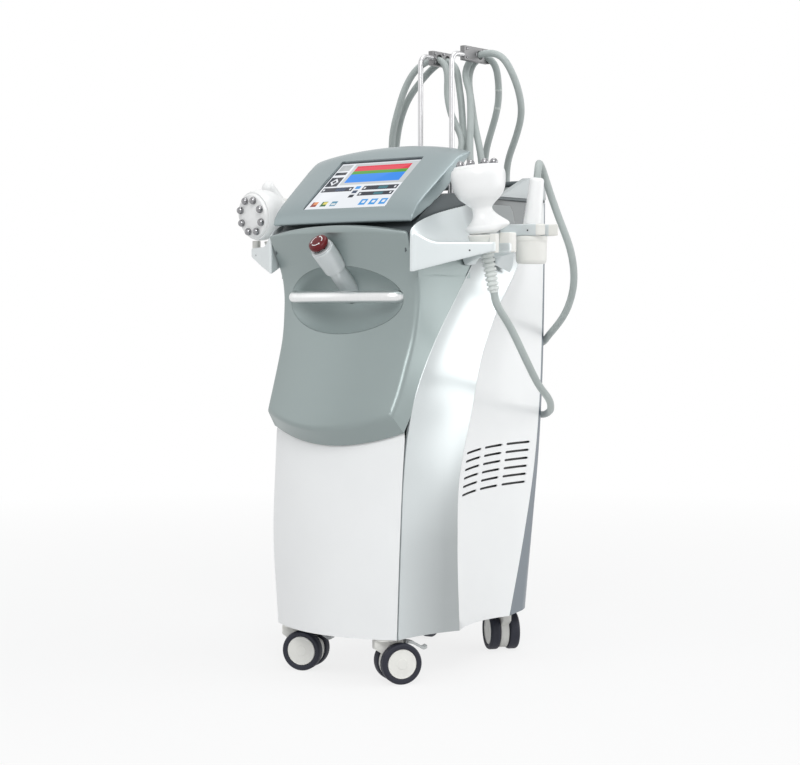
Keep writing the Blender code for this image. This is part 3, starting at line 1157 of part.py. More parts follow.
def make_posts_and_clamps():
    for word, side in (("right", 1), ("left", -1)):
        bend = [(POST_BEND * (1 - math.cos(a)), POST_TOP - POST_BEND * (1 - math.sin(a)))
                for a in np.linspace(0, math.pi / 2, 6)]
        route = [(side * POST_X, POST_Y, DECK_LEVEL - DECK_THICKNESS)]
        route += [(side * POST_X, POST_Y + along, z) for along, z in bend]
        route.append((side * POST_X, CLAMP_FRONT_Y - TOUCH_GAP, POST_TOP))
        tube(word + "_post", route, POST_RADIUS, "chrome", 2)
    clamps = (
        ("right", CLAMP_RIGHT_X, RIGHT_CLAMP_Z, CLAMP_BACK_Y, (RIGHT_BORE_NEAR_Y, RIGHT_BORE_FAR_Y)),
        ("left", CLAMP_LEFT_X, LEFT_CLAMP_Z, LEFT_CLAMP_BACK_Y, (LEFT_BORE_NEAR_Y, LEFT_BORE_FAR_Y)),
    )
    for word, x, z, back, bores in clamps:
        clamp = box(word + "_hose_clamp", (CLAMP_WIDTH, back - CLAMP_FRONT_Y, CLAMP_HEIGHT),
                    (x, (back + CLAMP_FRONT_Y) / 2, z), "steel")
        for y in bores:
            bore = rod("clamp_bore", CLAMP_BORE, CLAMP_WIDTH * 3, None, 14, CUTTERS)
            aim(bore, (x - CLAMP_WIDTH * 1.5, y, z), (1, 0, 0), (0, 1, 0))
            boolean(clamp, bore)


def make_manifold():
    """Deck plate with the four stubs that the hoses are pushed onto; returns the stubs' tops."""
    level = DECK_LEVEL + TOUCH_GAP
    plate = box("hose_manifold", (MANIFOLD_WIDTH, MANIFOLD_DEPTH, MANIFOLD_PLATE),
                (MANIFOLD_X, MANIFOLD_Y, level + MANIFOLD_PLATE / 2), "deck")
    spots = (
        (MANIFOLD_RIGHT_BIG_X, MANIFOLD_RIGHT_BIG_Y), (MANIFOLD_RIGHT_SMALL_X, MANIFOLD_RIGHT_SMALL_Y),
        (MANIFOLD_LEFT_BIG_X, MANIFOLD_LEFT_BIG_Y), (MANIFOLD_LEFT_SMALL_X, MANIFOLD_LEFT_SMALL_Y),
    )
    profile = [
        (0, MANIFOLD_HEIGHT), (HOSE_RADIUS, MANIFOLD_HEIGHT),
        (MANIFOLD_RADIUS * 0.8, MANIFOLD_HEIGHT * 0.7), (MANIFOLD_RADIUS, MANIFOLD_HEIGHT * 0.5),
        (MANIFOLD_RADIUS, MANIFOLD_PLATE / 2), (0, MANIFOLD_PLATE / 2),
    ]
    tops = []
    for x, y in spots:
        stub = turned("stub", profile, None, 10, CUTTERS)
        stub.location = (x, y, level)
        boolean(plate, stub, "UNION")
        tops.append(Vector((x, y, level + MANIFOLD_HEIGHT)))
    return tops


def make_hose(name, start, shares, end):
    """A hose from a stub's top, through its route, to an (end, direction) that it enters squarely."""
    last, outward = end
    first = start + Vector((0, 0, TOUCH_GAP))
    points = [first, first + Vector((0, 0, HOSE_RADIUS))]
    points += [Vector(row) * HANG_HEIGHT for row in shares]
    points += [last + outward * (TOUCH_GAP + HOSE_RADIUS * 2), last + outward * TOUCH_GAP]
    route = np.array([tuple(point) for point in points])
    middle = (route[:-1] + route[1:]) / 2
    before, after = route[:-3], route[3:]
    middle[1:-1] = (9 * (route[1:-2] + route[2:-1]) - before - after) / 16
    length = np.linalg.norm(np.diff(route, axis=0), axis=1)
    full = [route[0]]
    for n in range(len(middle)):
        if 1 <= n < len(middle) - 1 and length[n] > HOSE_RADIUS * 14:
            full.append(middle[n])
        full.append(route[n + 1])
    tube(name, full, HOSE_RADIUS, "hose", 2)


def make_chassis():
    plate = box("base_plate", (PLATE_HALF_WIDTH * 2, PLATE_BACK_Y - PLATE_FRONT_Y, PLATE_THICKNESS),
                (0, (PLATE_BACK_Y + PLATE_FRONT_Y) / 2, PLATE_LEVEL + PLATE_THICKNESS / 2), "steel")
    tongue_depth = TONGUE_BACK_Y - PLATE_BACK_Y + OVERRUN
    tongue = box("tongue", (TONGUE_HALF_WIDTH * 2, tongue_depth, PLATE_THICKNESS),
                 (0, TONGUE_BACK_Y - tongue_depth / 2, PLATE_LEVEL + PLATE_THICKNESS / 2), None,
                 group=CUTTERS)
    boolean(plate, tongue, "UNION")
    foot = PLATE_LEVEL + PLATE_THICKNESS + TOUCH_GAP
    depth = FRAME_BACK_Y - FRAME_FRONT_Y
    middle = (FRAME_BACK_Y + FRAME_FRONT_Y) / 2
    frame = box("chassis_frame", (FRAME_HALF_WIDTH * 2, depth, FRAME_TOP - foot),
                (0, middle, (FRAME_TOP + foot) / 2), "steel")
    clear_x, clear_y = (FRAME_HALF_WIDTH - FRAME_TUBE) * 2, depth - FRAME_TUBE * 2
    low = (foot + FRAME_TUBE, FRAME_SHELF - SKIN)
    high = (FRAME_SHELF, FRAME_TOP - FRAME_TUBE)
    for bottom, top in (low, high):
        centre = (0, middle, (bottom + top) / 2)
        height = top - bottom
        boolean(frame, box("room", (clear_x, clear_y, height), centre, None, group=CUTTERS))
        for size in ((FRAME_HALF_WIDTH * 4, clear_y, height), (clear_x, depth * 2, height)):
            boolean(frame, box("window", size, centre, None, group=CUTTERS))
    for z in (foot, FRAME_TOP):
        boolean(frame, box("hatch", (clear_x, clear_y, FRAME_TUBE * 3), (0, middle, z), None, group=CUTTERS))
    box("rf_generator", (GENERATOR_WIDTH, GENERATOR_DEPTH, GENERATOR_HEIGHT),
        (0, MODULE_Y, FRAME_SHELF + TOUCH_GAP + GENERATOR_HEIGHT / 2), "module", SKIN)
    pump_z = PLATE_LEVEL + PLATE_THICKNESS + TOUCH_GAP + PUMP_FOOT_HEIGHT + PUMP_RADIUS
    pump = rod("vacuum_pump", PUMP_RADIUS, PUMP_LENGTH, "module", 24)
    aim(pump, (-PUMP_LENGTH / 2, MODULE_Y, pump_z), (1, 0, 0), (0, 1, 0))
    foot_top = pump_z - PUMP_RADIUS / 2
    foot_bottom = PLATE_LEVEL + PLATE_THICKNESS + TOUCH_GAP
    block = box("pump_foot", (PUMP_LENGTH - SKIN * 4, PUMP_FOOT, foot_top - foot_bottom),
                (0, MODULE_Y, (foot_top + foot_bottom) / 2), None, group=CUTTERS)
    boolean(pump, block, "UNION")


def make_fan():
    nearest = float(back_depth(np.array(FAN_SIZE / 2), np.array(FAN_HEIGHT - FAN_SIZE / 2)))
    fan_y = nearest - SKIN - FAN_STAND_OFF - FAN_DEPTH / 2
    frame = box("fan_frame", (FAN_SIZE, FAN_DEPTH, FAN_SIZE), (0, fan_y, FAN_HEIGHT), "black")
    bore_radius = FAN_SIZE / 2 - SKIN
    bore = rod("fan_bore", bore_radius, FAN_DEPTH * 2, None, 20, CUTTERS)
    aim(bore, (0, fan_y - FAN_DEPTH, FAN_HEIGHT), (0, 1, 0), (1, 0, 0))
    boolean(frame, bore)
    bar_depth = FAN_BAR / 3
    bar = box("fan_bar", (FAN_SIZE - SKIN, bar_depth, FAN_BAR),
              (0, fan_y - FAN_DEPTH / 2 + bar_depth / 2 + SKIN / 6, FAN_HEIGHT), None, group=CUTTERS)
    boolean(frame, bar, "UNION")
    hub_start = fan_y - FAN_DEPTH / 2 + bar_depth + SKIN / 3
    hub_length = FAN_DEPTH - bar_depth - SKIN
    rotor = rod("fan_rotor", FAN_HUB_RADIUS, hub_length, "black", 24)
    aim(rotor, (0, hub_start, FAN_HEIGHT), (0, 1, 0), (1, 0, 0))
    reach = bore_radius - FAN_TIP_CLEARANCE
    root = FAN_HUB_RADIUS - SKIN / 2
    blades = bmesh.new()
    for n in range(FAN_BLADES):
        turn = Matrix.Rotation(2 * math.pi * n / FAN_BLADES, 4, "Z")
        shape = Matrix.Diagonal((reach - root, FAN_BLADE_CHORD, FAN_BLADE_THICKNESS, 1))
        shift = Matrix.Translation(((reach + root) / 2, 0, hub_length / 2))
        tilt = Matrix.Rotation(math.radians(40), 4, "X")
        bmesh.ops.create_cube(blades, size=1.0, matrix=turn @ shift @ tilt @ shape)
    mesh = bpy.data.meshes.new("fan_blades")
    blades.to_mesh(mesh)
    blades.free()
    comb = place("fan_blades", mesh, None, CUTTERS)
    comb.matrix_world = rotor.matrix_world
    boolean(rotor, comb, "UNION")


def make_inlet():
    back = float(back_depth(np.array(0.0), np.array(INLET_Z))) + INLET_PROUD
    inlet = box("power_inlet", (INLET_WIDTH, INLET_DEPTH, INLET_HEIGHT),
                (0, back - INLET_DEPTH / 2, INLET_Z), "black")
    well_width, well_height = ROCKER_SIZE + ROCKER_SIDE_GAP * 2, ROCKER_SIZE + ROCKER_GAP * 2
    well = box("rocker_well", (well_width, ROCKER_WELL * 2, well_height),
               (0, back, INLET_Z + ROCKER_RISE), None, group=CUTTERS)
    socket = box("socket", (SOCKET_WIDTH, SOCKET_DEPTH * 2, SOCKET_HEIGHT),
                 (0, back, INLET_Z - SOCKET_DROP), None, group=CUTTERS)
    boolean(inlet, well)
    boolean(inlet, socket)
    pins = bmesh.new()
    start = back - SOCKET_DEPTH - SKIN / 3
    end = back - SOCKET_DEPTH / 2
    for n in (-1, 0, 1):
        spot = Matrix.Translation((PIN_PITCH * n, (start + end) / 2, INLET_Z - SOCKET_DROP))
        shape = Matrix.Diagonal((PIN_WIDTH, end - start, PIN_HEIGHT, 1))
        bmesh.ops.create_cube(pins, size=1.0, matrix=spot @ shape)
    mesh = bpy.data.meshes.new("pins")
    pins.to_mesh(mesh)
    pins.free()
    boolean(inlet, place("pins", mesh, None, CUTTERS), "UNION")
    box("mains_switch", (ROCKER_SIZE, ROCKER_DEPTH, ROCKER_SIZE),
        (0, back - ROCKER_DEPTH / 2 + SKIN / 2, INLET_Z + ROCKER_RISE), "black")


def make_casters():
    for name, heading in CASTER_HEADINGS.items():
        front = name.startswith("front")
        side = 1 if name.endswith("right") else -1
        stem = Vector((side * CASTER_X, CASTER_FRONT_Y if front else CASTER_BACK_Y, 0))
        local = Matrix.Translation(stem) @ Matrix.Rotation(math.radians(heading), 4, "Z")
        top = PLATE_LEVEL - TOUCH_GAP
        neck_top = top - SWIVEL_THICKNESS / 2
        outline = [(-YOKE_BACK, neck_top), (-YOKE_BACK, YOKE_NECK - SKIN * 2)]
        for angle in np.linspace(math.radians(152), math.radians(388), 9):
            outline.append((CASTER_TRAIL + YOKE_RADIUS * math.cos(angle),
                            WHEEL_RADIUS + YOKE_RADIUS * math.sin(angle)))
        outline += [(YOKE_FRONT + SKIN, YOKE_NECK - SKIN), (YOKE_FRONT, neck_top)]
        curve = bpy.data.curves.new(name + "_yoke", "CURVE")
        curve.dimensions = "2D"
        curve.fill_mode = "BOTH"
        curve.extrude = YOKE_HALF_WIDTH
        spline = curve.splines.new("POLY")
        spline.points.add(len(outline) - 1)
        spline.use_cyclic_u = True
        for point, (x, z) in zip(spline.points, outline):
            point.co = (x, z, 0, 1)
        yoke = place(name + "_yoke", curve, "cream")
        yoke.matrix_world = Matrix.Rotation(math.radians(90), 4, "X")
        yoke = to_mesh(yoke)
        yoke.data.transform(yoke.matrix_world)
        yoke.matrix_world = local
        disc = rod("swivel", SWIVEL_RADIUS, SWIVEL_THICKNESS, None, 14, CUTTERS)
        disc.location = stem + Vector((0, 0, top - SWIVEL_THICKNESS))
        boolean(yoke, disc, "UNION")
        axle = local @ Vector((CASTER_TRAIL, 0, WHEEL_RADIUS))
        along = local.to_3x3() @ Vector((0, 1, 0))
        bore = rod("axle_bore", AXLE_RADIUS + RUNNING_GAP, WHEEL_OUTER * 2, None, 12, CUTTERS)
        aim(bore, axle - along * WHEEL_OUTER, along, (0, 0, 1))
        boolean(yoke, bore)
        side_profile = [(r * WHEEL_RADIUS, t * WHEEL_OUTER) for r, t in WHEEL_SHARES]
        side_profile.append((WHEEL_RADIUS, WHEEL_INNER))
        side_profile.append((AXLE_RADIUS, WHEEL_INNER))
        profile = side_profile + [(r, -t) for r, t in side_profile[::-1]]
        aim(turned(name + "_wheels", profile, "tyre", 20), axle, along, (0, 0, 1))
        if front:
            make_pedal(name, local)


def make_pedal(name, local):
    """Brake pedal: a barrel at its hinge and a blade that runs out and curls up at its end."""
    barrel = rod(name + "_brake_pedal", PEDAL_BARREL, PEDAL_HALF_WIDTH * 2, "cream", 14)
    hinge = (PEDAL_HINGE_X, -PEDAL_HALF_WIDTH, PEDAL_HINGE_Z)
    barrel.matrix_world = local @ frame_at(hinge, (0, 1, 0), (1, 0, 0))
    path = [(x * PEDAL_LENGTH, z * PEDAL_LENGTH) for x, z in PEDAL_SHARES]
    half = PEDAL_THICKNESS / 2
    outline = [(x, z + half) for x, z in path] + [(x, z - half) for x, z in path[::-1]]
    curve = bpy.data.curves.new("blade", "CURVE")
    curve.dimensions = "2D"
    curve.fill_mode = "BOTH"
    curve.extrude = PEDAL_HALF_WIDTH
    spline = curve.splines.new("POLY")
    spline.points.add(len(outline) - 1)
    spline.use_cyclic_u = True
    for point, (x, z) in zip(spline.points, outline):
        point.co = (x, z, 0, 1)
    blade = place("blade", curve, None, CUTTERS)
    blade.matrix_world = local @ Matrix.Translation((PEDAL_HINGE_X, 0, PEDAL_HINGE_Z)) @ Matrix.Rotation(
        math.radians(90), 4, "X")
    boolean(barrel, to_mesh(blade), "UNION")


def main():
    make_front_panel()
    shield, dish = make_dish_and_shield()
    make_grip(dish, shield)
    make_stalk(dish, shield)
    make_sides()
    make_rear_panel()
    make_deck()
    make_cheeks()
    make_trays()
    make_display()
    right_big, right_small = make_right_handpieces()
    left_big, left_small, wand_axis = make_left_handpieces()
    make_holders(left_small[0], wand_axis)
    make_posts_and_clamps()
    tops = make_manifold()
    make_hose("right_big_hose", tops[0], RIGHT_BIG_ROUTE_SHARES, right_big)
    make_hose("right_small_hose", tops[1], RIGHT_SMALL_ROUTE_SHARES, right_small)
    make_hose("left_big_hose", tops[2], LEFT_BIG_ROUTE_SHARES, left_big)
    make_hose("left_small_hose", tops[3], LEFT_SMALL_ROUTE_SHARES, left_small)
    make_chassis()
    make_fan()
    make_inlet()
    make_casters()


main()
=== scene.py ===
import json
import math

import bmesh
import bpy
import numpy as np
from bpy.props import FloatProperty, FloatVectorProperty, PointerProperty
from mathutils import Matrix, Vector

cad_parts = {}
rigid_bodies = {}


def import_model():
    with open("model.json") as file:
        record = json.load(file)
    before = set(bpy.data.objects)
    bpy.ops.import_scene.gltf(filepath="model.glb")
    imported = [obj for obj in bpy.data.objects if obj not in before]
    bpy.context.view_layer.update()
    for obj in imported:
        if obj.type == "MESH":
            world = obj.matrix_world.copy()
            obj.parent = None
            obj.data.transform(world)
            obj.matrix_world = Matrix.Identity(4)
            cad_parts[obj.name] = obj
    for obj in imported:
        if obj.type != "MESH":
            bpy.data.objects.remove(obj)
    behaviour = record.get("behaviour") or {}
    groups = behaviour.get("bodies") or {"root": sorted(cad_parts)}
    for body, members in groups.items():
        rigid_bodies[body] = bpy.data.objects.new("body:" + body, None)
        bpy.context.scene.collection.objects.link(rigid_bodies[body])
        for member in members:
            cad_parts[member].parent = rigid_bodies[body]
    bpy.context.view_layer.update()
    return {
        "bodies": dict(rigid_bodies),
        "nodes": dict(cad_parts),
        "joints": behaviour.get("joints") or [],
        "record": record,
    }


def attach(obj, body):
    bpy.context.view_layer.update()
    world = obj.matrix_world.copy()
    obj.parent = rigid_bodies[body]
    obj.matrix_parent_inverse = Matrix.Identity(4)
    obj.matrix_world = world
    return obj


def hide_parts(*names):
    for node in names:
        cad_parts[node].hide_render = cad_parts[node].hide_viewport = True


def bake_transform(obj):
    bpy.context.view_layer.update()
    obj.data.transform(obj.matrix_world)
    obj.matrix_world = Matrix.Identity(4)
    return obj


bl_info = {
    "name": "Body contouring machine",
    "version": (1, 0, 0),
    "blender": (4, 5, 0),
    "location": "View3D > Sidebar > Machine",
    "description": "Dresses the packed frame of a wheeled body contouring machine",
    "category": "Object",
}

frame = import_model()
NODES = frame["nodes"]
NODE_BODY = {node: body for body, nodes in frame["record"]["behaviour"]["bodies"].items() for node in nodes}


def colour_property(name, description, default):
    """A colour that the panel shows."""
    return FloatVectorProperty(name=name, description=description, default=default, subtype="COLOR",
                               size=3, min=0.0, max=1.0)


def length_property(name, description, default):
    """A length in metres that the panel shows."""
    return FloatProperty(name=name, description=description, default=default, unit="LENGTH",
                         min=0.0, precision=4)


class MachineColours(bpy.types.PropertyGroup):
    """Colours of the machine's finishes."""

    silver: colour_property("Silver paint", "Satin paint of the shell and trays", (0.47, 0.50, 0.505))
    shield: colour_property("Shield paint", "Satin paint of the front shield", (0.293, 0.344, 0.341))
    white: colour_property("White panels", "Smooth front and side panels", (0.90, 0.91, 0.91))
    deck: colour_property("Deck", "Textured dark plastic of the deck", (0.102, 0.121, 0.128))
    cream: colour_property("Cream plastic", "Holders, yokes and cup", (0.81, 0.805, 0.765))
    handpiece: colour_property("Handpiece shell", "Near white moulded shell", (0.90, 0.905, 0.90))
    hose: colour_property("Hose", "Soft grey green tube", (0.415, 0.460, 0.448))
    red: colour_property("Stop head", "Dark red stop button", (0.120, 0.003, 0.006))
    tyre: colour_property("Tyre", "Navy black tread", (0.012, 0.014, 0.026))
    steel: colour_property("Steel", "Posts and clamps", (0.60, 0.60, 0.61))
    rear: colour_property("Rear shell", "Cooler satin paint of the rear shell", (0.172, 0.205, 0.238))


class MachineSizes(bpy.types.PropertyGroup):
    """Sizes of the machine's dressed surfaces."""

    skin: length_property("Shell thickness", "Wall of the outer panels", 0.003)
    seam: length_property("Seam", "Gap between neighbouring panels", 0.001)
    crease: length_property("Crease radius", "Rounding where the shield turns into its flank", 0.009)
    shield_bow: length_property("Shield bow", "How far the shield bulges between its creases", 0.026)
    dish_depth: length_property("Dish depth", "Depth of the oval hand dish", 0.036)
    hose_radius: length_property("Hose radius", "Radius of the four hoses", 0.0073)


# Satin lacquer: scales of its flakes, its slow cloud and its orange peel, and its clear coat
FLAKE_SCALE, CLOUD_SCALE, PEEL_SCALE, LACQUER_COAT = 2600.0, 7.0, 420.0, 0.15


class Flow:
    """One output of a shader tree. Arithmetic on it adds Math nodes."""

    def __init__(self, paint, socket):
        self.paint = paint
        self.socket = socket

    def maths(self, operation, *others, clamp=False):
        settings = {"operation": operation, "use_clamp": clamp}
        return self.paint.node("ShaderNodeMath", settings, dict(enumerate((self,) + others)))

    def __add__(self, other):
        return self.maths("ADD", other)

    __radd__ = __add__

    def __sub__(self, other):
        return self.maths("SUBTRACT", other)

    def __rsub__(self, other):
        return self.paint.node("ShaderNodeMath", {"operation": "SUBTRACT"}, {0: other, 1: self})

    def __mul__(self, other):
        return self.maths("MULTIPLY", other)

    __rmul__ = __mul__

    def __gt__(self, other):
        return self.maths("GREATER_THAN", other)

    def __lt__(self, other):
        return self.maths("LESS_THAN", other)

    def __abs__(self):
        return self.maths("ABSOLUTE")

    def clipped(self):
        return self.maths("ADD", 0.0, clamp=True)

    def most(self, other):
        return self.maths("MAXIMUM", other)

    def root(self):
        return self.maths("SQRT")

    def rest(self):
        return self.maths("FRACT")


class Tree:
    """A shader tree in the making, with one method that adds any node."""

    def __init__(self, tree):
        self.tree = tree

    def node(self, kind, settings=None, sockets=None, output=0):
        made = self.tree.nodes.new(kind)
        for key, value in (settings or {}).items():
            setattr(made, key, value)
        for key, value in (sockets or {}).items():
            if isinstance(value, Flow):
                self.tree.links.new(value.socket, made.inputs[key])
            else:
                made.inputs[key].default_value = value
        return Flow(self, made.outputs[output]) if made.outputs else None

    def in_view(self):
        """1 for rays from the camera, a mirror or a see-through piece, and 0 for the others: the largest of
        the three."""
        seen = self.node("ShaderNodeLightPath", output="Is Camera Ray")
        kinds = seen.socket.node.outputs
        return seen.most(Flow(self, kinds["Is Glossy Ray"])).most(Flow(self, kinds["Is Transmission Ray"]))


class Paint(Tree):
    """A material in the making."""

    def __init__(self, name, rough=0.4, metal=0.0, coat=0.0):
        self.material = bpy.data.materials.new(name)
        self.material.use_nodes = True
        super().__init__(self.material.node_tree)
        self.shader = self.tree.nodes["Principled BSDF"]
        self.shader.inputs["Roughness"].default_value = rough
        self.shader.inputs["Metallic"].default_value = metal
        self.shader.inputs["Coat Weight"].default_value = coat
        self.shader.inputs["Coat Roughness"].default_value = 0.12

    def feed(self, socket, value):
        if isinstance(value, Flow):
            self.tree.links.new(value.socket, self.shader.inputs[socket])
        else:
            self.shader.inputs[socket].default_value = value
        return self

    def place(self):
        return self.node("ShaderNodeTexCoord", output="Object")

    def axes(self, vector):
        split = self.node("ShaderNodeSeparateXYZ", None, {0: vector})
        outputs = split.socket.node.outputs
        return Flow(self, outputs[0]), Flow(self, outputs[1]), Flow(self, outputs[2])

    def noise(self, scale, detail=2.0, rough=0.5, vector=None):
        sockets = {"Vector": vector or self.place(), "Scale": scale, "Detail": detail, "Roughness": rough}
        return self.node("ShaderNodeTexNoise", None, sockets, "Fac")

    def mix(self, factor, first, second):
        pick = [c if isinstance(c, Flow) else (*c, 1.0) for c in (first, second)]
        return self.node("ShaderNodeMix", {"data_type": "RGBA"}, {0: factor, 6: pick[0], 7: pick[1]}, 2)

    def bump(self, height, strength, distance):
        sockets = {"Strength": strength, "Distance": distance, "Height": height}
        self.feed("Normal", self.node("ShaderNodeBump", None, sockets))
        return self

    def lacquer(self):
        """Fine flakes and a broad slow cloud, from which a satin lacquer takes its tone and gloss."""
        return self.noise(FLAKE_SCALE, 1.0), self.noise(CLOUD_SCALE, 2.0)

    def orange_peel(self):
        """The faint orange peel of sprayed lacquer, after which the material is ready."""
        return self.bump(self.noise(PEEL_SCALE, 2.0), 0.05, 0.0004).material

    def along(self, place, direction):
        """How far each place lies along a direction."""
        return self.node("ShaderNodeVectorMath", {"operation": "DOT_PRODUCT"}, {0: place, 1: direction}, 1)

    def from_point(self, point):
        """Places measured from a point of the piece."""
        return self.node("ShaderNodeVectorMath", {"operation": "SUBTRACT"}, {0: self.place(), 1: point})


def shade(colour, factor):
    """The colour times a factor, at most 1."""
    return tuple(min(1.0, channel * factor) for channel in colour)


def satin_paint(name, colour, metal=0.55, rough=0.36):
    """Metallic lacquer: fine flakes in the colour, a broad slow change of tone, and a faint orange peel."""
    paint = Paint(name, rough, metal, LACQUER_COAT)
    flakes, cloud = paint.lacquer()
    tone = (flakes * 0.5 + cloud * 0.5).clipped()
    paint.feed("Base Color", paint.mix(tone, shade(colour, 0.93), shade(colour, 1.07)))
    paint.feed("Roughness", rough - 0.03 + cloud * 0.06)
    return paint.orange_peel()


def moulded(name, colour, rough=0.34, grain=900.0, strength=0.04, coat=0.0):
    """Moulded plastic: a slow change of tone, uneven gloss and a fine grain."""
    paint = Paint(name, rough, 0.0, coat)
    cloud = paint.noise(9.0, 3.0)
    paint.feed("Base Color", paint.mix(cloud, shade(colour, 0.975), shade(colour, 1.02)))
    paint.feed("Roughness", rough - 0.04 + cloud * 0.08)
    return paint.bump(paint.noise(grain, 2.0), strength, 0.0005).material


def brushed(name, colour, rough=0.25, along=(40.0, 40.0, 900.0)):
    """Brushed metal: noise drawn out across the brushing varies the gloss and the normal."""
    paint = Paint(name, rough, 1.0)
    drawn = paint.node("ShaderNodeMapping", None, {"Vector": paint.place(), "Scale": along})
    lines = paint.noise(1.0, 3.0, 0.6, drawn)
    paint.feed("Base Color", paint.mix(lines, shade(colour, 0.90), shade(colour, 1.08)))
    paint.feed("Roughness", rough - 0.06 + lines * 0.14)
    return paint.bump(lines, 0.06, 0.0003).material


def rubber(name, colour, rough=0.55):
    """Soft tube or tyre: a dull bloom that comes and goes, and a fine pebbled skin."""
    paint = Paint(name, rough, 0.0)
    bloom = paint.noise(30.0, 3.0)
    paint.feed("Base Color", paint.mix(bloom, shade(colour, 0.90), shade(colour, 1.10)))
    paint.feed("Roughness", rough - 0.05 + bloom * 0.10)
    return paint.bump(paint.noise(1500.0, 2.0), 0.05, 0.0003).material


def smooth_line(at, xs, ys):
    """Cubic curve through the points (xs, ys), with the slope of each point's two neighbours."""
    xs, ys = np.asarray(xs, float), np.asarray(ys, float)
    slope = np.gradient(ys, xs)
    at = np.clip(at, xs[0], xs[-1])
    i = np.clip(np.searchsorted(xs, at, side="right") - 1, 0, len(xs) - 2)
    width = xs[i + 1] - xs[i]
    t = (at - xs[i]) / width
    return (ys[i] + (ys[i + 1] - ys[i]) * t * t * (3 - 2 * t)
            + width * t * (1 - t) * (slope[i] * (1 - t) - slope[i + 1] * t))


# Smallest corner radius of a block, the distance at which two points are one, and the angle of a sharp edge
SMALLEST_CORNER, DOUBLE, FLAT_EDGE, SHARP_ANGLE = 2e-4, 1e-6, 1e-7, 40.0


def stack(x, y, z):
    """Points from their three coordinates, each spread to the others' shape."""
    return np.stack(np.broadcast_arrays(x, y, z), -1)


def quads(rows, columns, around=False, ends=False):
    """Faces of a grid of points. Around joins its last column to its first, and ends its last row."""
    index = np.arange(rows * columns).reshape(rows, columns)
    if around:
        index = np.concatenate([index, index[:, :1]], 1)
    if ends:
        index = np.concatenate([index, index[:1]], 0)
    return np.stack([index[:-1, :-1], index[:-1, 1:], index[1:, 1:], index[1:, :-1]], -1).reshape(-1, 4)


def volume_of(points, faces):
    """Six times the signed volume inside the faces: the sum of their triangles' triple products."""
    total = 0.0
    for n in range(1, faces.shape[1] - 1):
        a, b, c = points[faces[:, 0]], points[faces[:, n]], points[faces[:, n + 1]]
        total += (a * np.cross(b, c)).sum()
    return total


def mesh_of(name, shells):
    """A mesh from (points, faces) shells, each turned so that its faces point outwards."""
    mesh = bpy.data.meshes.new(name)
    points, faces, start = [], [], 0
    for spots, cells in shells:
        spots = np.asarray(spots, float).reshape(-1, 3)
        if volume_of(spots, cells) < 0:
            cells = cells[:, ::-1]
        points.append(spots)
        faces.extend((cells + start).tolist())
        start += len(spots)
    mesh.from_pydata(np.concatenate(points).tolist(), [], faces)
    mesh.validate()
    return mesh


def wall(outer, inner, around=False):
    """Closed shell between an outer and an inner grid of one shape, with rims along their open sides."""
    rows, columns = outer.shape[:2]
    index = np.arange(rows * columns).reshape(rows, columns)
    across = np.concatenate([index, index[:, :1]], 1) if around else index
    outside = quads(rows, columns, around)
    faces = [outside, outside[:, ::-1] + rows * columns]
    rims = [across[0], across[-1][::-1]]
    if not around:
        rims += [index[:, -1], index[:, 0][::-1]]
    for rim in rims:
        faces.append(np.stack([rim[1:], rim[:-1], rim[:-1] + rows * columns, rim[1:] + rows * columns], 1))
    return np.concatenate([outer.reshape(-1, 3), inner.reshape(-1, 3)]), np.concatenate(faces)


def revolved(profile, matrix=None, steps=96, ring=False):
    """Profile of (radius, height) points turned about an axis: x = r cos a, y = r sin a, z = h. A ring's
    profile is closed, and any other starts and ends on the axis."""
    profile = np.asarray(profile, float)
    turn = np.linspace(0, 2 * np.pi, steps, endpoint=False)[None, :]
    radius, height = profile[:, :1], profile[:, 1:]
    points = stack(radius * np.cos(turn), radius * np.sin(turn), height)
    return moved(points, matrix).reshape(-1, 3), quads(len(profile), steps, True, ring)


def moved(points, matrix):
    """The points turned by the matrix and shifted by its translation."""
    if matrix is None:
        return points
    turn = np.array(matrix.to_3x3())
    return points @ turn.T + np.array(matrix.translation)


def rounded(profile, radius, count=5):
    """The profile with each inner corner swapped for a quadratic curve that starts radius before it."""
    profile = np.asarray(profile, float)
    made = [profile[0]]
    t = np.linspace(0, 1, count)[:, None]
    for before, corner, after in zip(profile[:-2], profile[1:-1], profile[2:]):
        a, b = before - corner, after - corner
        long_a, long_b = np.linalg.norm(a), np.linalg.norm(b)
        first = corner + a / long_a * min(radius, long_a * 0.45)
        last = corner + b / long_b * min(radius, long_b * 0.45)
        made.extend((1 - t) ** 2 * first + 2 * t * (1 - t) * corner + t * t * last)
    made.append(profile[-1])
    return np.array(made)


def rounded_loop(outline, radius, count=5):
    """A closed outline with every corner rounded in the same way."""
    outline = np.asarray(outline, float)
    full = np.concatenate([outline[-1:], outline, outline[:1]])
    return rounded(full, radius, count)[1:-1]


def spline(points, count):
    """count points along a smooth curve through the points: each coordinate is a cubic of chord length."""
    points = np.asarray(points, float)
    run = np.concatenate([[0], np.cumsum(np.linalg.norm(np.diff(points, axis=0), axis=1))])
    fine = np.linspace(0, run[-1], count * 6)
    dense = np.stack([smooth_line(fine, run, points[:, n]) for n in range(3)], 1)
    length = np.concatenate([[0], np.cumsum(np.linalg.norm(np.diff(dense, axis=0), axis=1))])
    at = np.linspace(0, length[-1], count)
    return np.stack([np.interp(at, length, dense[:, n]) for n in range(3)], 1)


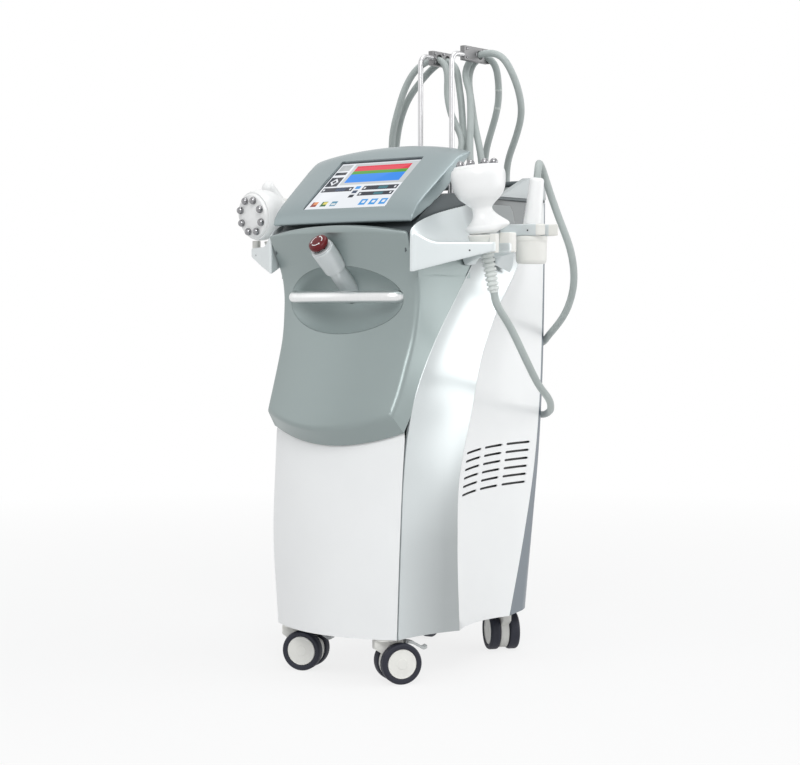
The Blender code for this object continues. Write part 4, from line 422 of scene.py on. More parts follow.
def piped(path, radius, sides=20):
    """Round section carried along a path: centre + radius (n cos a + b sin a), with n and b turned as little
    as possible from point to point, and each end closed at a point on the path."""
    path = np.asarray(path, float)
    radius = np.broadcast_to(np.asarray(radius, float), (len(path),))
    ahead = np.gradient(path, axis=0)
    ahead = ahead / np.linalg.norm(ahead, axis=1)[:, None]
    normal = np.cross(ahead[0], (0.0, 0.0, 1.0) if abs(ahead[0][2]) < 0.9 else (1.0, 0.0, 0.0))
    normals = []
    for direction in ahead:
        normal = normal - direction * (normal @ direction)
        normal = normal / np.linalg.norm(normal)
        normals.append(normal)
    normals = np.array(normals)
    others = np.cross(ahead, normals)
    turn = np.linspace(0, 2 * np.pi, sides, endpoint=False)[None, :, None]
    section = normals[:, None] * np.cos(turn) + others[:, None] * np.sin(turn)
    rings = path[:, None] + radius[:, None, None] * section
    rings = np.concatenate([np.repeat(path[:1, None], sides, 1), rings, np.repeat(path[-1:, None], sides, 1)])
    return rings.reshape(-1, 3), quads(len(rings), sides, True)


def slab(outline, low, high, matrix=None, soft=0.0, centre=None):
    """Flat outline of (x, y) points, given thickness from low to high. Its edges are rounded by rings that
    move towards the centre by soft (1 - sin a) at soft (1 - cos a) from each face, and its caps are fans
    about the centre."""
    outline = np.asarray(outline, float)
    centre = outline.mean(0) if centre is None else np.asarray(centre, float)
    inward = centre - outline
    inward = inward / np.linalg.norm(inward, axis=1)[:, None]
    count = len(outline)
    rings = [(None, low)]
    for turn in np.linspace(0, np.pi / 2, 4 if soft else 1):
        rings.append((soft * (1 - np.sin(turn)), low + soft * (1 - np.cos(turn))))
    rings += [(inset, low + high - level) for inset, level in rings[::-1]]
    points = []
    for inset, level in rings:
        flat = np.repeat(centre[None], count, 0) if inset is None else outline + inward * inset
        points.append(stack(flat[:, 0], flat[:, 1], level))
    return moved(np.array(points), matrix).reshape(-1, 3), quads(len(points), count, True)


def block(size, centre, soft=0.001, corner=0.0, matrix=None):
    """Block with rounded edges, whose upright corners have their own radius: each is a quarter of a circle
    of 32 steps, moved out to the corner by the signs of cos a and sin a."""
    half = np.array(size) / 2
    corner = max(corner, soft, SMALLEST_CORNER)
    turn = np.linspace(0, 2 * np.pi, 32, endpoint=False) + np.pi / 32
    outline = np.stack([np.sign(np.cos(turn)) * (half[0] - corner) + corner * np.cos(turn),
                        np.sign(np.sin(turn)) * (half[1] - corner) + corner * np.sin(turn)], 1)
    place = Matrix.Translation(centre)
    return slab(outline, -half[2], half[2], matrix @ place if matrix else place, soft)


def frame_at(origin, axis, roll):
    """Matrix with its origin at a point, +Z along an axis and +X near roll."""
    z = Vector(axis).normalized()
    x = Vector(roll) - z * Vector(roll).dot(z)
    x.normalize()
    return Matrix.Translation(origin) @ Matrix((x, z.cross(x), z)).transposed().to_4x4()


def merge_doubles(mesh):
    """Joins points that lie on each other, such as a pole's, so that the faces round them share a normal."""
    work = bmesh.new()
    work.from_mesh(mesh)
    bmesh.ops.remove_doubles(work, verts=work.verts, dist=DOUBLE)
    bmesh.ops.dissolve_degenerate(work, edges=work.edges, dist=FLAT_EDGE)
    work.to_mesh(mesh)
    work.free()


def smoothed(mesh):
    """Smooth shading that stops at sharp edges."""
    mesh.shade_smooth()
    mesh.set_sharp_from_angle(angle=math.radians(SHARP_ANGLE))


def new_object(name, mesh, material):
    """A mesh in the scene, smoothed and with its material."""
    smoothed(mesh)
    obj = bpy.data.objects.new(name, mesh)
    bpy.context.scene.collection.objects.link(obj)
    mesh.materials.append(material)
    bpy.context.view_layer.update()
    return obj


def piece(name, shells, material, node=None, body="machine", stands=True):
    """A finished piece in world place. It rides on its node's body and stands for the node unless told not
    to, or it has no node and rides on a body."""
    mesh = mesh_of(name, shells)
    merge_doubles(mesh)
    obj = new_object(name, mesh, material)
    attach(obj, NODE_BODY[node] if node else body)
    if node:
        if stands:
            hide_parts(node)
    return obj


def cut(obj, cutter_shells, name):
    """Takes each cutter's volume out of a piece and applies the result, so nothing live is left on it."""
    cutters = []
    for n, shell in enumerate(cutter_shells):
        mesh = mesh_of(name, [shell])
        merge_doubles(mesh)
        cutter = bpy.data.objects.new(f"{name}_{n}", mesh)
        bpy.context.scene.collection.objects.link(cutter)
        step = obj.modifiers.new(name, "BOOLEAN")
        step.object = cutter
        step.solver = "EXACT"
        cutters.append(cutter)
    apply_all(obj)
    for cutter in cutters:
        bpy.data.objects.remove(cutter, do_unlink=True)


def softened(obj, voxel, rounds):
    """Rounds every edge of a moulding: an even net of square cells over its surface, then relaxed."""
    net = obj.modifiers.new("net", "REMESH")
    net.mode = "VOXEL"
    net.voxel_size = voxel
    relax = obj.modifiers.new("relax", "SMOOTH")
    relax.factor = 0.5
    relax.iterations = rounds
    apply_all(obj)


def apply_all(obj):
    """Puts the evaluated mesh in place of the piece's own and removes its modifiers."""
    bpy.context.view_layer.update()
    seen = obj.evaluated_get(bpy.context.evaluated_depsgraph_get())
    mesh = bpy.data.meshes.new_from_object(seen)
    obj.modifiers.clear()
    old = obj.data
    obj.data = mesh
    bpy.data.meshes.remove(old)
    smoothed(mesh)


def finish_node(node, material):
    """Gives a CAD node that stays in view its procedural finish."""
    obj = NODES[node]
    obj.data.materials.clear()
    obj.data.materials.append(material)


# Lines up the body, as shares of its height, half width and half depth, as the frame's panels follow them
BODY_TOP, HALF_WIDTH, HALF_DEPTH = 0.955, 0.187, 0.275
CORNER_SHARES = (
    (0.092, 0.824, -0.775), (0.291, 0.877, -0.785), (0.419, 0.882, -0.760), (0.524, 0.888, -0.731),
)
STRIP_SHARES = (
    (0.092, 0.834, -0.767), (0.291, 0.888, -0.778), (0.419, 0.893, -0.753), (0.513, 0.909, -0.716),
    (0.575, 0.936, -0.676), (0.714, 0.947, -0.396), (0.796, 0.947, -0.164), (0.866, 0.947, 0.022),
    (0.990, 0.940, 0.180),
)
SEAM_SHARES = (
    (0.092, 1.000, -0.204), (0.276, 0.995, -0.225), (0.401, 0.984, -0.196), (0.539, 0.968, -0.036),
    (0.674, 0.952, 0.135), (0.761, 0.941, 0.327), (0.847, 0.925, 0.582), (0.990, 0.915, 0.860),
)
REAR_EDGE_SHARES = (
    (0.092, 0.909, 0.509), (0.262, 0.914, 0.691), (0.419, 0.914, 0.829), (0.556, 0.909, 0.900),
    (0.733, 0.909, 0.933), (0.853, 0.909, 0.945), (0.990, 0.909, 0.955),
)
REAR_CORNER_SHARES = (
    (0.092, 0.733, 0.916), (0.262, 0.775, 0.953), (0.419, 0.813, 0.975), (0.556, 0.840, 0.985),
    (0.733, 0.856, 0.996), (0.990, 0.856, 1.000),
)
CREASE_SHARES = (
    (0.514, 0.845, -0.893), (0.546, 0.856, -0.862), (0.588, 0.877, -0.800), (0.641, 0.893, -0.731),
    (0.697, 0.914, -0.665), (0.746, 0.930, -0.636), (0.791, 0.936, -0.630), (0.829, 0.941, -0.651),
    (0.871, 0.944, -0.713), (0.912, 0.944, -0.785),
)
SIDES = (("right", 1), ("left", -1))
PLATE_LEVEL, PANEL_TOP, SHELL_TOP = 0.088, 0.500, 0.9447

# Lower front panel: its bulge at the plate, how much of it is lost by the top, and how its top tucks in
PANEL_BULGE, PANEL_BULGE_LOST, PANEL_TUCK, PANEL_TUCK_RISE = 0.046, 0.022, 0.003, 0.025

# Front shield: its levels, the arch of its top, the way in of its edges, and where its lip starts to turn
SHIELD_FOOT, SHIELD_FACE_FOOT, SHIELD_RISE = 0.457, 0.491, 0.030
SHIELD_TOP, SHIELD_TOP_ARCH, SHIELD_LIP_BACK, SHIELD_LIP_TURN = 0.868, 0.016, -0.207, 0.0115
SHIELD_FLANK_TOP, SHIELD_RETURN = 0.790, 0.012
CREASE_STEPS = 8

# Oval dish and the grip bar across it: half sizes, level, bow, how far its line stands out, hooked ends
DISH_LONG, DISH_HIGH, DISH_Z = 0.145, 0.067, 0.741
GRIP_HALF, GRIP_LEVEL, GRIP_BOW, GRIP_STAND = 0.126, 0.747, 0.022, 0.00575
GRIP_HOOK, GRIP_HOOK_SHARES = 0.012, ((0.42, 0.42), (0.67, 1.10))

# Side band and side panel: clearance at their seam, hollow of each, how much of it is lost by the top, and
# how far the band's front lip reaches in
SEAM_CLEAR, BAND_HOLLOW, PANEL_HOLLOW, PANEL_HOLLOW_LOST = 0.0004, 0.009, 0.020, 0.014
BAND_LIP = (0.0065, 0.0035)

# Louvres: rows and the three bars of each as shares of the half depth, level and pitch, droop, shift of each
# row, half height of a bar, and where the cutters stand
VENT_ROWS, VENT_BARS = 6, ((-0.080, 0.145), (0.195, 0.44), (0.49, 0.785))
VENT_LEVEL, VENT_PITCH, VENT_DROOP, VENT_SHIFT, VENT_HALF = 0.445, 0.0165, 0.0066, 0.0035, 0.0024
VENT_X, VENT_REACH = 0.164, 0.03
FILTER_LEVELS, FILTER_INSETS = (0.325, 0.462), (0.0075, 0.0095)

# Rear shell: the bow of its back, and where its corner ends as a share of the corner's width
REAR_BOW, REAR_FLAT = 0.0043, 0.93

# Deck: its front and rear edges, where its slope ends, its levels, and the top that fittings stand on
DECK_FRONT, DECK_REAR, DECK_SLOPE_END = -0.2035, 0.258, -0.060
DECK_FRONT_LEVEL, DECK_RISE, DECK_TOP, DECK_THICK = 0.862, 0.088, 0.9503, 0.005

# Cheeks and push bar, posts with their bend, and clamps: name, place, level, back, and bores
CHEEK_X, PUSH_BAR = 0.167, (0, 0.215, 0.9838)
POST_X, POST_Y, POST_TOP, POST_BEND, CLAMP_FRONT = 0.041, 0.110, 1.254, 0.020, 0.148
CLAMPS = (("right", 0.040, 1.258, 0.238, (0.203, 0.226)), ("left", -0.044, 1.254, 0.217, (0.172, 0.200)))

# Outline upright across the body: its x runs back, its y up, and its thickness to the side
ACROSS = Matrix(((0, 0, 1, 0), (1, 0, 0, 0), (0, 1, 0, 0), (0, 0, 0, 1)))

# Stop button's post
STALK_FOOT = Vector((0, -0.164, 0.761))
STALK_TILT = math.radians(42)
STALK_AXIS = Vector((0, -math.cos(STALK_TILT), math.sin(STALK_TILT)))


def sizes():
    """The panel's sizes."""
    return bpy.context.scene.machine_sizes


def colours():
    """The panel's colours."""
    return bpy.context.scene.machine_colours


def body_line(shares, z):
    """Half width and depth of a line up the body at the heights z."""
    rows = np.array(shares)
    heights = rows[:, 0] * BODY_TOP
    return smooth_line(z, heights, rows[:, 1] * HALF_WIDTH), smooth_line(z, heights, rows[:, 2] * HALF_DEPTH)


def panel_depth(x, z):
    """Front panel's depth: the corner's depth less a bulge times (1 - (x / corner)^2), which fades up."""
    corner_x, corner_y = body_line(CORNER_SHARES, z)
    share = np.clip((z - PLATE_LEVEL) / (PANEL_TOP - PLATE_LEVEL), 0, 1)
    return corner_y - (PANEL_BULGE - PANEL_BULGE_LOST * share) * (1 - (x / corner_x) ** 2)


def shield_depth(x, z):
    """Shield's depth: the crease's depth less a bulge times (1 - (x / crease)^2)."""
    crease_x, crease_y = body_line(CREASE_SHARES, z)
    return crease_y - sizes().shield_bow * (1 - np.clip(x / crease_x, -1, 1) ** 2)


def shield_outline(count):
    """Closed loop round the shield's face, counter-clockwise from the foot of its right crease, and the loop
    that it turns back to: the flanks' edges, the lip over the top and the chamfer along the foot. With s
    across, the top arches by 1 - s^2 and both edges of the foot rise by s^2."""
    low = SHIELD_FACE_FOOT + SHIELD_RISE
    z = low + (SHIELD_TOP - low) * np.linspace(0, 1, count)
    crease_x, crease_y = body_line(CREASE_SHARES, z)
    flank_x, flank_y = body_line(STRIP_SHARES, z)
    over = z > SHIELD_FLANK_TOP
    flank_x = np.where(over, crease_x - sizes().seam, flank_x)
    flank_y = np.where(over, crease_y + SHIELD_RETURN, flank_y)
    lip = z > SHIELD_TOP - SHIELD_LIP_TURN
    flank_y[lip] = np.linspace(flank_y[~lip][-1], SHIELD_LIP_BACK, int(lip.sum()))
    right = stack(crease_x, crease_y, z)
    right_back = stack(flank_x, flank_y, z)
    across = np.linspace(1, -1, count)[1:-1]
    top_z = SHIELD_TOP + SHIELD_TOP_ARCH * (1 - across**2)
    top_x = body_line(CREASE_SHARES, top_z)[0] * across
    top = stack(top_x, shield_depth(top_x, top_z), top_z)
    top_back = stack(top_x, np.full_like(top_x, SHIELD_LIP_BACK), top_z + sizes().skin)
    foot_x = body_line(CREASE_SHARES, np.array(low))[0]
    across = np.linspace(-1, 1, count)[1:-1]
    face_z = SHIELD_FACE_FOOT + SHIELD_RISE * across**2
    face_x = body_line(CREASE_SHARES, face_z)[0] * across
    foot = stack(face_x, shield_depth(face_x, face_z), face_z)
    under_z = SHIELD_FOOT + SHIELD_RISE * across**2
    under_x = (body_line(CORNER_SHARES, under_z)[0] + sizes().seam) * across
    under = stack(under_x, panel_depth(under_x * 0.999, under_z) - sizes().seam - sizes().skin, under_z)
    corner = np.array([foot_x, body_line(CREASE_SHARES, np.array(low))[1], low])
    corner_foot = np.array([body_line(CORNER_SHARES, np.array(SHIELD_FOOT + SHIELD_RISE))[0] + sizes().seam,
                            under[-1, 1], SHIELD_FOOT + SHIELD_RISE])
    fan = np.linspace(0, 1, CREASE_STEPS)[1:, None]
    turned = right_back[0] + (corner_foot - right_back[0]) * fan
    flip = np.array([-1.0, 1.0, 1.0])
    at_left, at_right = (np.repeat(spot[None], CREASE_STEPS - 1, 0) for spot in (corner * flip, corner))
    face = [right, top, (right * flip)[::-1], at_left, foot, at_right]
    back = [right_back, top_back, (right_back * flip)[::-1], turned * flip, under, turned[::-1]]
    return np.concatenate(face), np.concatenate(back)


def shield_shells():
    """The shield as one polar grid: from the dish's oval rim out to the face's outline by straight steps in
    x and z with the face's own depth, round the crease on a quadratic curve, and back to the flanks, lip
    and foot."""
    face, back = shield_outline(70)
    angle = np.arctan2((face[:, 2] - DISH_Z) / DISH_HIGH, face[:, 0] / DISH_LONG)
    rim_x, rim_z = DISH_LONG * np.cos(angle), DISH_Z + DISH_HIGH * np.sin(angle)
    turn = sizes().crease
    reach = np.hypot(rim_x - face[:, 0], rim_z - face[:, 2])
    last_x = face[:, 0] + (rim_x - face[:, 0]) / reach * turn
    last_z = face[:, 2] + (rim_z - face[:, 2]) / reach * turn
    rows = []
    for share in np.linspace(0, 1, 40):
        x, z = rim_x + (last_x - rim_x) * share, rim_z + (last_z - rim_z) * share
        rows.append(stack(x, shield_depth(x, z), z))
    outward = back - face
    far = np.maximum(np.linalg.norm(outward, axis=1)[:, None], 1e-6)
    a, b = rows[-1], face + outward / far * np.minimum(turn, far * 0.45)
    for t in np.linspace(0, 1, CREASE_STEPS)[1:]:
        rows.append((1 - t) ** 2 * a + 2 * t * (1 - t) * face + t * t * b)
    for t in np.linspace(0, 1, CREASE_STEPS)[1:]:
        rows.append(b + (back - b) * t)
    outer = np.array(rows)
    last = slice(1 - CREASE_STEPS, None)
    share = np.ones(len(outer))
    share[last] = np.linspace(0.9, 0.15, CREASE_STEPS - 1)
    inner = outer * np.array([1 - sizes().skin / HALF_WIDTH, 1, 1])
    inner[..., 1] += sizes().skin * share[:, None]
    inner[last, :, 2] -= np.where(outer[last, :, 2] > SHIELD_TOP, sizes().skin, 0)
    return [wall(outer, inner, around=True)]


def dish_shells():
    """Oval dish: inside its rim it lies behind the shield's face by dish_depth (1 - r^2)^0.86."""
    turn = np.linspace(0, 2 * np.pi, 160, endpoint=False)[None, :]
    r = np.sin(np.linspace(0.02, 1, 44) * np.pi / 2)[:, None]
    shrink = 1 - sizes().seam * 0.4 / DISH_HIGH
    x, z = DISH_LONG * r * shrink * np.cos(turn), DISH_Z + DISH_HIGH * r * shrink * np.sin(turn)
    y = shield_depth(x, z) + sizes().dish_depth * (1 - r**2) ** 0.86
    return [wall(stack(x, y, z), stack(x, y + sizes().skin, z), around=True)]


def grip_path():
    """The grip bar: a bow of 1 - s^2 forward of its ends, which turn back into the dish."""
    share = np.linspace(-1, 1, 11)
    end_y = float(shield_depth(np.array(GRIP_HALF), np.array(GRIP_LEVEL)))
    y = end_y - GRIP_BOW * (1 - share**2) - GRIP_STAND
    bar = stack(share * GRIP_HALF, y, GRIP_LEVEL)
    hook = [(GRIP_HALF + GRIP_HOOK * out, y[-1] + GRIP_HOOK * back, GRIP_LEVEL)
            for out, back in GRIP_HOOK_SHARES]
    return spline(np.concatenate([flipped(np.array(hook[::-1]), -1), bar, hook]), 90)


def band_points(z, columns, inset):
    """Silver side band: from the strip line to the seam line, hollowed by 4 d s (1 - s), with a lip at its
    front edge that turns in behind the shield."""
    strip_x, strip_y = body_line(STRIP_SHARES, z)
    seam_x, seam_y = body_line(SEAM_SHARES, z)
    s = np.linspace(0, 1, columns)[None, :]
    strip_y, seam_y = strip_y + sizes().seam, seam_y - SEAM_CLEAR
    x = strip_x + (seam_x - strip_x) * s - 4 * BAND_HOLLOW * s * (1 - s) - inset
    main = stack(x, strip_y + (seam_y - strip_y) * s, z)
    lip = stack(strip_x - np.array(BAND_LIP)[None, :], strip_y + 0.0009 + inset * 0.5, z)
    return np.concatenate([lip, main], 1)


def side_points(z, columns, inset):
    """White side panel: between the seam line and the rear edge, hollowed by 4 d s (1 - s), where d shrinks
    towards the top with the root of the height."""
    seam_x, seam_y = body_line(SEAM_SHARES, z)
    edge_x, edge_y = body_line(REAR_EDGE_SHARES, z)
    s = np.linspace(0, 1, columns)[None, :]
    share = np.clip((z - PLATE_LEVEL) / (SHELL_TOP - PLATE_LEVEL), 0, 1)
    hollow = PANEL_HOLLOW - PANEL_HOLLOW_LOST * np.sqrt(share)
    x = seam_x + (edge_x - seam_x) * s - hollow * 4 * s * (1 - s) - inset
    return stack(x, seam_y + SEAM_CLEAR + (edge_y - seam_y - 2 * SEAM_CLEAR) * s, z)


def vent_shells(side):
    """Cutters of the side panel's louvres: rows of three bars on a line that droops towards the front by
    (1 - y / half depth)^4, each row further forward than the one above it. A bar's half height is
    (1 - t^30)^0.5 along it."""
    made = []
    for row in range(VENT_ROWS):
        for low, high in VENT_BARS:
            t = np.sin(np.linspace(-1, 1, 17) * np.pi / 2)
            t = np.concatenate([t, t[-2:0:-1]])
            share = (low + high) / 2 + (high - low) / 2 * t
            half = VENT_HALF * np.sqrt(1 - np.abs(t) ** 30) * np.where(np.arange(32) < 17, -1, 1)
            level = VENT_LEVEL - VENT_PITCH * row - VENT_DROOP * (1 - share) ** 4
            outline = np.stack([share * HALF_DEPTH - VENT_SHIFT * row, level + half], 1)
            made.append(slab(outline, side * VENT_X - VENT_REACH, side * VENT_X + VENT_REACH, ACROSS))
    return made


def flipped(points, side):
    """The points on the right or, mirrored in x, on the left."""
    return points * np.array([side, 1.0, 1.0])


def rear_points(z, inset):
    """Rear shell across its width: a straight flank in from each rear edge, a corner on a quadratic curve,
    and a back that bows slightly. Its inner wall tapers over the first 12 columns from each edge."""
    edge_x, edge_y = body_line(REAR_EDGE_SHARES, z)
    corner_x, corner_y = body_line(REAR_CORNER_SHARES, z)
    mid_x, mid_y = edge_x * 0.35 + corner_x * 0.65 + 0.003, edge_y * 0.35 + corner_y * 0.65
    half = []
    for t in np.linspace(0, 1, 12):
        half.append((edge_x + (mid_x - edge_x) * t - 0.0005 * (1 - t), edge_y + (mid_y - edge_y) * t))
    after_x = corner_x * REAR_FLAT
    after_y = corner_y + REAR_BOW * (1 - REAR_FLAT)
    for t in np.linspace(0, 1, 9)[1:]:
        half.append(((1 - t) ** 2 * mid_x + 2 * t * (1 - t) * (corner_x * 0.995) + t * t * after_x,
                     (1 - t) ** 2 * mid_y + 2 * t * (1 - t) * corner_y + t * t * after_y))
    for t in np.linspace(0, 1, 14)[1:]:
        half.append((after_x * (1 - t), corner_y + REAR_BOW * (1 - REAR_FLAT + REAR_FLAT * t)))
    x = np.concatenate([row[0] for row in half] + [-row[0] for row in half[-2::-1]], 1)
    y = np.concatenate([row[1] for row in half] + [row[1] for row in half[-2::-1]], 1)
    if inset:
        x = x * (1 - inset * 1.4 / edge_x)
        column = np.arange(x.shape[1])
        y = y - inset * np.clip(np.minimum(column, column[::-1]) / 12, 0.2, 1)
    return stack(x, y, z)


def deck_level(y):
    """Deck's level: a quarter of a sine up its front slope, then flat."""
    share = np.clip((y - DECK_FRONT) / (DECK_SLOPE_END - DECK_FRONT), 0, 1)
    return DECK_FRONT_LEVEL + DECK_RISE * np.sin(share * math.pi / 2)


def deck_half(y):
    """Deck's half width, a little less at its front edge."""
    return np.interp(y, (DECK_FRONT, DECK_SLOPE_END), (0.168, 0.1745))


# Points that each hose passes, as shares of the height at which the hoses hang
HANG_HEIGHT = 1.262
ROUTES = (
    ((0.0594, 0.1363, 0.8019), (0.0555, 0.1363, 0.8312), (0.0328, 0.1506, 0.8801),
     (0.0167, 0.1624, 0.9239), (0.0038, 0.1727, 0.9561), (0.0000, 0.1791, 0.9683),
     (0.0040, 0.1791, 0.9849), (0.0158, 0.1791, 0.9945), (0.0317, 0.1791, 0.9968),
     (0.0428, 0.1815, 0.9952), (0.0460, 0.1886, 0.9881), (0.0444, 0.1981, 0.9762),
     (0.0400, 0.2076, 0.9600), (0.0347, 0.2179, 0.9395), (0.0262, 0.2258, 0.9154),
     (0.0081, 0.2338, 0.8797), (-0.0074, 0.2377, 0.8431), (-0.0119, 0.2456, 0.7726),
     (-0.0063, 0.2552, 0.6735), (0.0000, 0.2615, 0.5547), (0.0174, 0.2655, 0.4635),
     (0.0555, 0.2662, 0.4025), (0.1000, 0.2520, 0.3920), (0.1387, 0.2179, 0.4002),
     (0.1759, 0.1680, 0.4113), (0.2076, 0.1149, 0.4287), (0.2266, 0.0555, 0.4556),
     (0.2377, 0.0079, 0.4929), (0.2330, -0.0301, 0.5468)),
    ((0.0523, 0.1133, 0.8019), (0.0460, 0.1189, 0.8360), (0.0414, 0.1268, 0.8694),
     (0.0332, 0.1387, 0.9040), (0.0212, 0.1506, 0.9425), (0.0063, 0.1585, 0.9628),
     (0.0079, 0.1609, 0.9826), (0.0174, 0.1609, 0.9937), (0.0317, 0.1609, 0.9968),
     (0.0460, 0.1624, 1.0000), (0.0708, 0.1688, 0.9967), (0.0869, 0.1807, 0.9669),
     (0.0928, 0.1957, 0.9298), (0.0887, 0.2076, 0.9028), (0.0698, 0.2203, 0.8665),
     (0.0435, 0.2314, 0.8230), (0.0349, 0.2409, 0.7607), (0.0365, 0.2456, 0.6735),
     (0.0491, 0.2488, 0.5864), (0.0720, 0.2488, 0.5330), (0.1020, 0.2430, 0.5130),
     (0.1379, 0.2179, 0.5289), (0.2014, 0.1783, 0.5743), (0.2369, 0.1426, 0.6241),
     (0.2455, 0.1189, 0.6666), (0.2349, 0.1030, 0.7138), (0.2231, 0.0919, 0.7580),
     (0.2193, 0.0777, 0.7920), (0.2263, 0.0594, 0.8007)),
    ((0.0254, 0.1046, 0.8019), (0.0314, 0.1189, 0.8496), (0.0025, 0.1268, 0.8951),
     (-0.0143, 0.1363, 0.9414), (-0.0127, 0.1363, 0.9635), (-0.0166, 0.1363, 0.9818),
     (-0.0261, 0.1363, 0.9921), (-0.0349, 0.1363, 0.9937), (-0.0475, 0.1363, 0.9937),
     (-0.0650, 0.1363, 0.9889), (-0.0824, 0.1363, 0.9786), (-0.1038, 0.1363, 0.9517),
     (-0.1189, 0.1363, 0.9168), (-0.1331, 0.1379, 0.8756), (-0.1410, 0.1442, 0.8320),
     (-0.1506, 0.1506, 0.7805), (-0.1593, 0.1553, 0.7132), (-0.1624, 0.1624, 0.6339),
     (-0.1632, 0.1791, 0.5721), (-0.1632, 0.2060, 0.5468), (-0.1632, 0.2298, 0.5721),
     (-0.1640, 0.2345, 0.6260), (-0.1648, 0.2155, 0.6910), (-0.1688, 0.1704, 0.7330),
     (-0.1799, 0.1149, 0.7496)),
    ((0.0111, 0.1276, 0.8019), (0.0222, 0.1363, 0.8399), (0.0118, 0.1466, 0.8728),
     (0.0006, 0.1545, 0.9294), (-0.0063, 0.1585, 0.9509), (-0.0095, 0.1585, 0.9731),
     (-0.0174, 0.1585, 0.9873), (-0.0277, 0.1585, 0.9929), (-0.0365, 0.1585, 0.9937),
     (-0.0491, 0.1585, 0.9905), (-0.0650, 0.1585, 0.9810), (-0.0840, 0.1585, 0.9659),
     (-0.1149, 0.1585, 0.9342), (-0.1363, 0.1616, 0.8954), (-0.1521, 0.1680, 0.8399),
     (-0.1775, 0.1783, 0.7607), (-0.2029, 0.1807, 0.6815), (-0.2203, 0.1680, 0.5983),
     (-0.2330, 0.1331, 0.5230), (-0.2401, 0.0872, 0.4913), (-0.2448, 0.0436, 0.5151),
     (-0.2472, 0.0143, 0.5705), (-0.2472, 0.0000, 0.6339), (-0.2472, -0.0016, 0.6878)),
)

# Places of the hose fittings on the deck
STUBS = {
    "right_big_hose": (0.076, 0.173),
    "right_small_hose": (0.068, 0.142),
    "left_big_hose": (0.030, 0.132),
    "left_small_hose": (0.012, 0.161),
}

# Stretch of each hose next to its handpiece: the handpiece, and the places where that stretch starts and ends
HOSE_TURNS = {
    "right_big_hose": ("right_big_handpiece", (0.20, 0.13, 0), (0.294, -0.045, 0)),
    "right_small_hose": ("right_small_handpiece", (0.20, 0.20, 0), (0.29, 0.05, 0)),
    "left_big_hose": ("left_big_handpiece", (-0.2065, 0, 0), (-0.235, 0, 0)),
    "left_small_hose": ("left_small_handpiece", (-0.28, 0.10, 0), (-0.315, -0.005, 0)),
}
FITTING_HEIGHT, TAPE_SHARES, TAPE_LENGTH, TAPE_RADIUS = 0.036, (0.2426, 0.2604), 0.006, 0.0077

# Display: front edge, slope, half widths at the foot and more at the top, length, arch and crown, and screen
CASE_FRONT = Vector((0, -0.199, 0.893))
CASE_TILT = math.radians(39)
CASE_HALF, CASE_SPREAD, CASE_LENGTH = 0.178, 0.013, 0.222
CASE_ARCH, CASE_CROWN, CASE_BACK = 0.033, 0.020, 0.016
SCREEN_ALONG, SCREEN_HALF_WIDTH, SCREEN_HALF_HEIGHT, HINGE_ALONG = 0.106, 0.1055, 0.079, 0.170

# Trays: inner side, front and back, reach, levels, and the places of the front and rear holders
TRAY_INNER, TRAY_FRONT_Y, TRAY_BACK_Y, TRAY_REACH = 0.1778, -0.205, 0.125, 0.315
TRAY_LEVEL, TRAY_REAR_LEVEL, TRAY_REAR_BOTTOM, TRAY_ROOT = 0.850, 0.889, 0.866, 0.006
TRAY_FOOT, TRAY_FOOT_RISE, SCOOP_WIDTH, SCOOP_LIFT, SCOOP_TOP = 0.792, 0.040, 0.050, 0.018, 0.936
STEP_LENGTH, SLOT_RADIUS = 0.042, 0.0210
FRONT_HOLDER, REAR_HOLDER = (0.266, -0.087), (0.291, 0.038)
TRAY_SCREWS = (
    ((0.2763, -0.1456, 0.8343), (0.551, -0.8347, 0)), ((0.3019, 0.0088, 0.8763), (0.06, -0.998, 0)),
)
TRAY_EDGE_SHARES = (
    (0.00, 0.00), (0.015, 0.03), (0.10, 0.40), (0.227, 0.884), (0.255, 0.985), (0.273, 1.00), (0.47, 1.00),
    (0.485, 0.97), (0.494, 0.884), (0.53, 0.40), (0.56, 0.37), (0.60, 0.37), (0.636, 0.40), (0.648, 0.90),
    (0.658, 1.078), (0.688, 1.20), (0.797, 1.20), (0.821, 1.078), (0.835, 0.80), (0.848, 0.38), (1.00, 0.02),
)
LEAN_HEADING = math.radians(38.7)
BOWL_RADIUS, BOWL_HEIGHT = 0.052, 0.124
BOWL_SHARES = (
    (0.00, 1.00), (0.95, 1.00), (1.00, 0.94), (0.99, 0.78), (0.93, 0.67), (0.78, 0.56), (0.52, 0.465),
    (0.35, 0.39), (0.325, 0.32), (0.37, 0.23), (0.50, 0.155), (0.62, 0.10), (0.60, 0.04), (0.48, 0.00),
    (0.00, 0.00),
)

# Swelling of the bowl's foot into its beak, as (height above the seat, growth of the radius)
BEAK = (
    (-0.001, 0), (0.003, 0), (0.009, 0.0110), (0.015, 0.0215), (0.0195, 0.0245), (0.026, 0.0215),
    (0.034, 0.0140), (0.044, 0.0055), (0.056, 0.0008), (0.066, 0),
)
PLATE_LIFT, PLATE_THICK, DOMES, DOME_RING, DOME_RADIUS, DOME_CLEAR = 0.1243, 0.006, 8, 0.0345, 0.0078, 0.003
RELIEF_LENGTH, RELIEF_COLLAR, RELIEF_RIBS, RELIEF_CORE, RELIEF_END = 0.113, 0.036, 8, 0.72, 0.1144
HANDLE_LENGTH, WAND_LENGTH, WAND_RADIUS = 0.148, 0.085, 0.0145
CUP_DEPTH, CUP_FLOOR = 0.054, 0.018

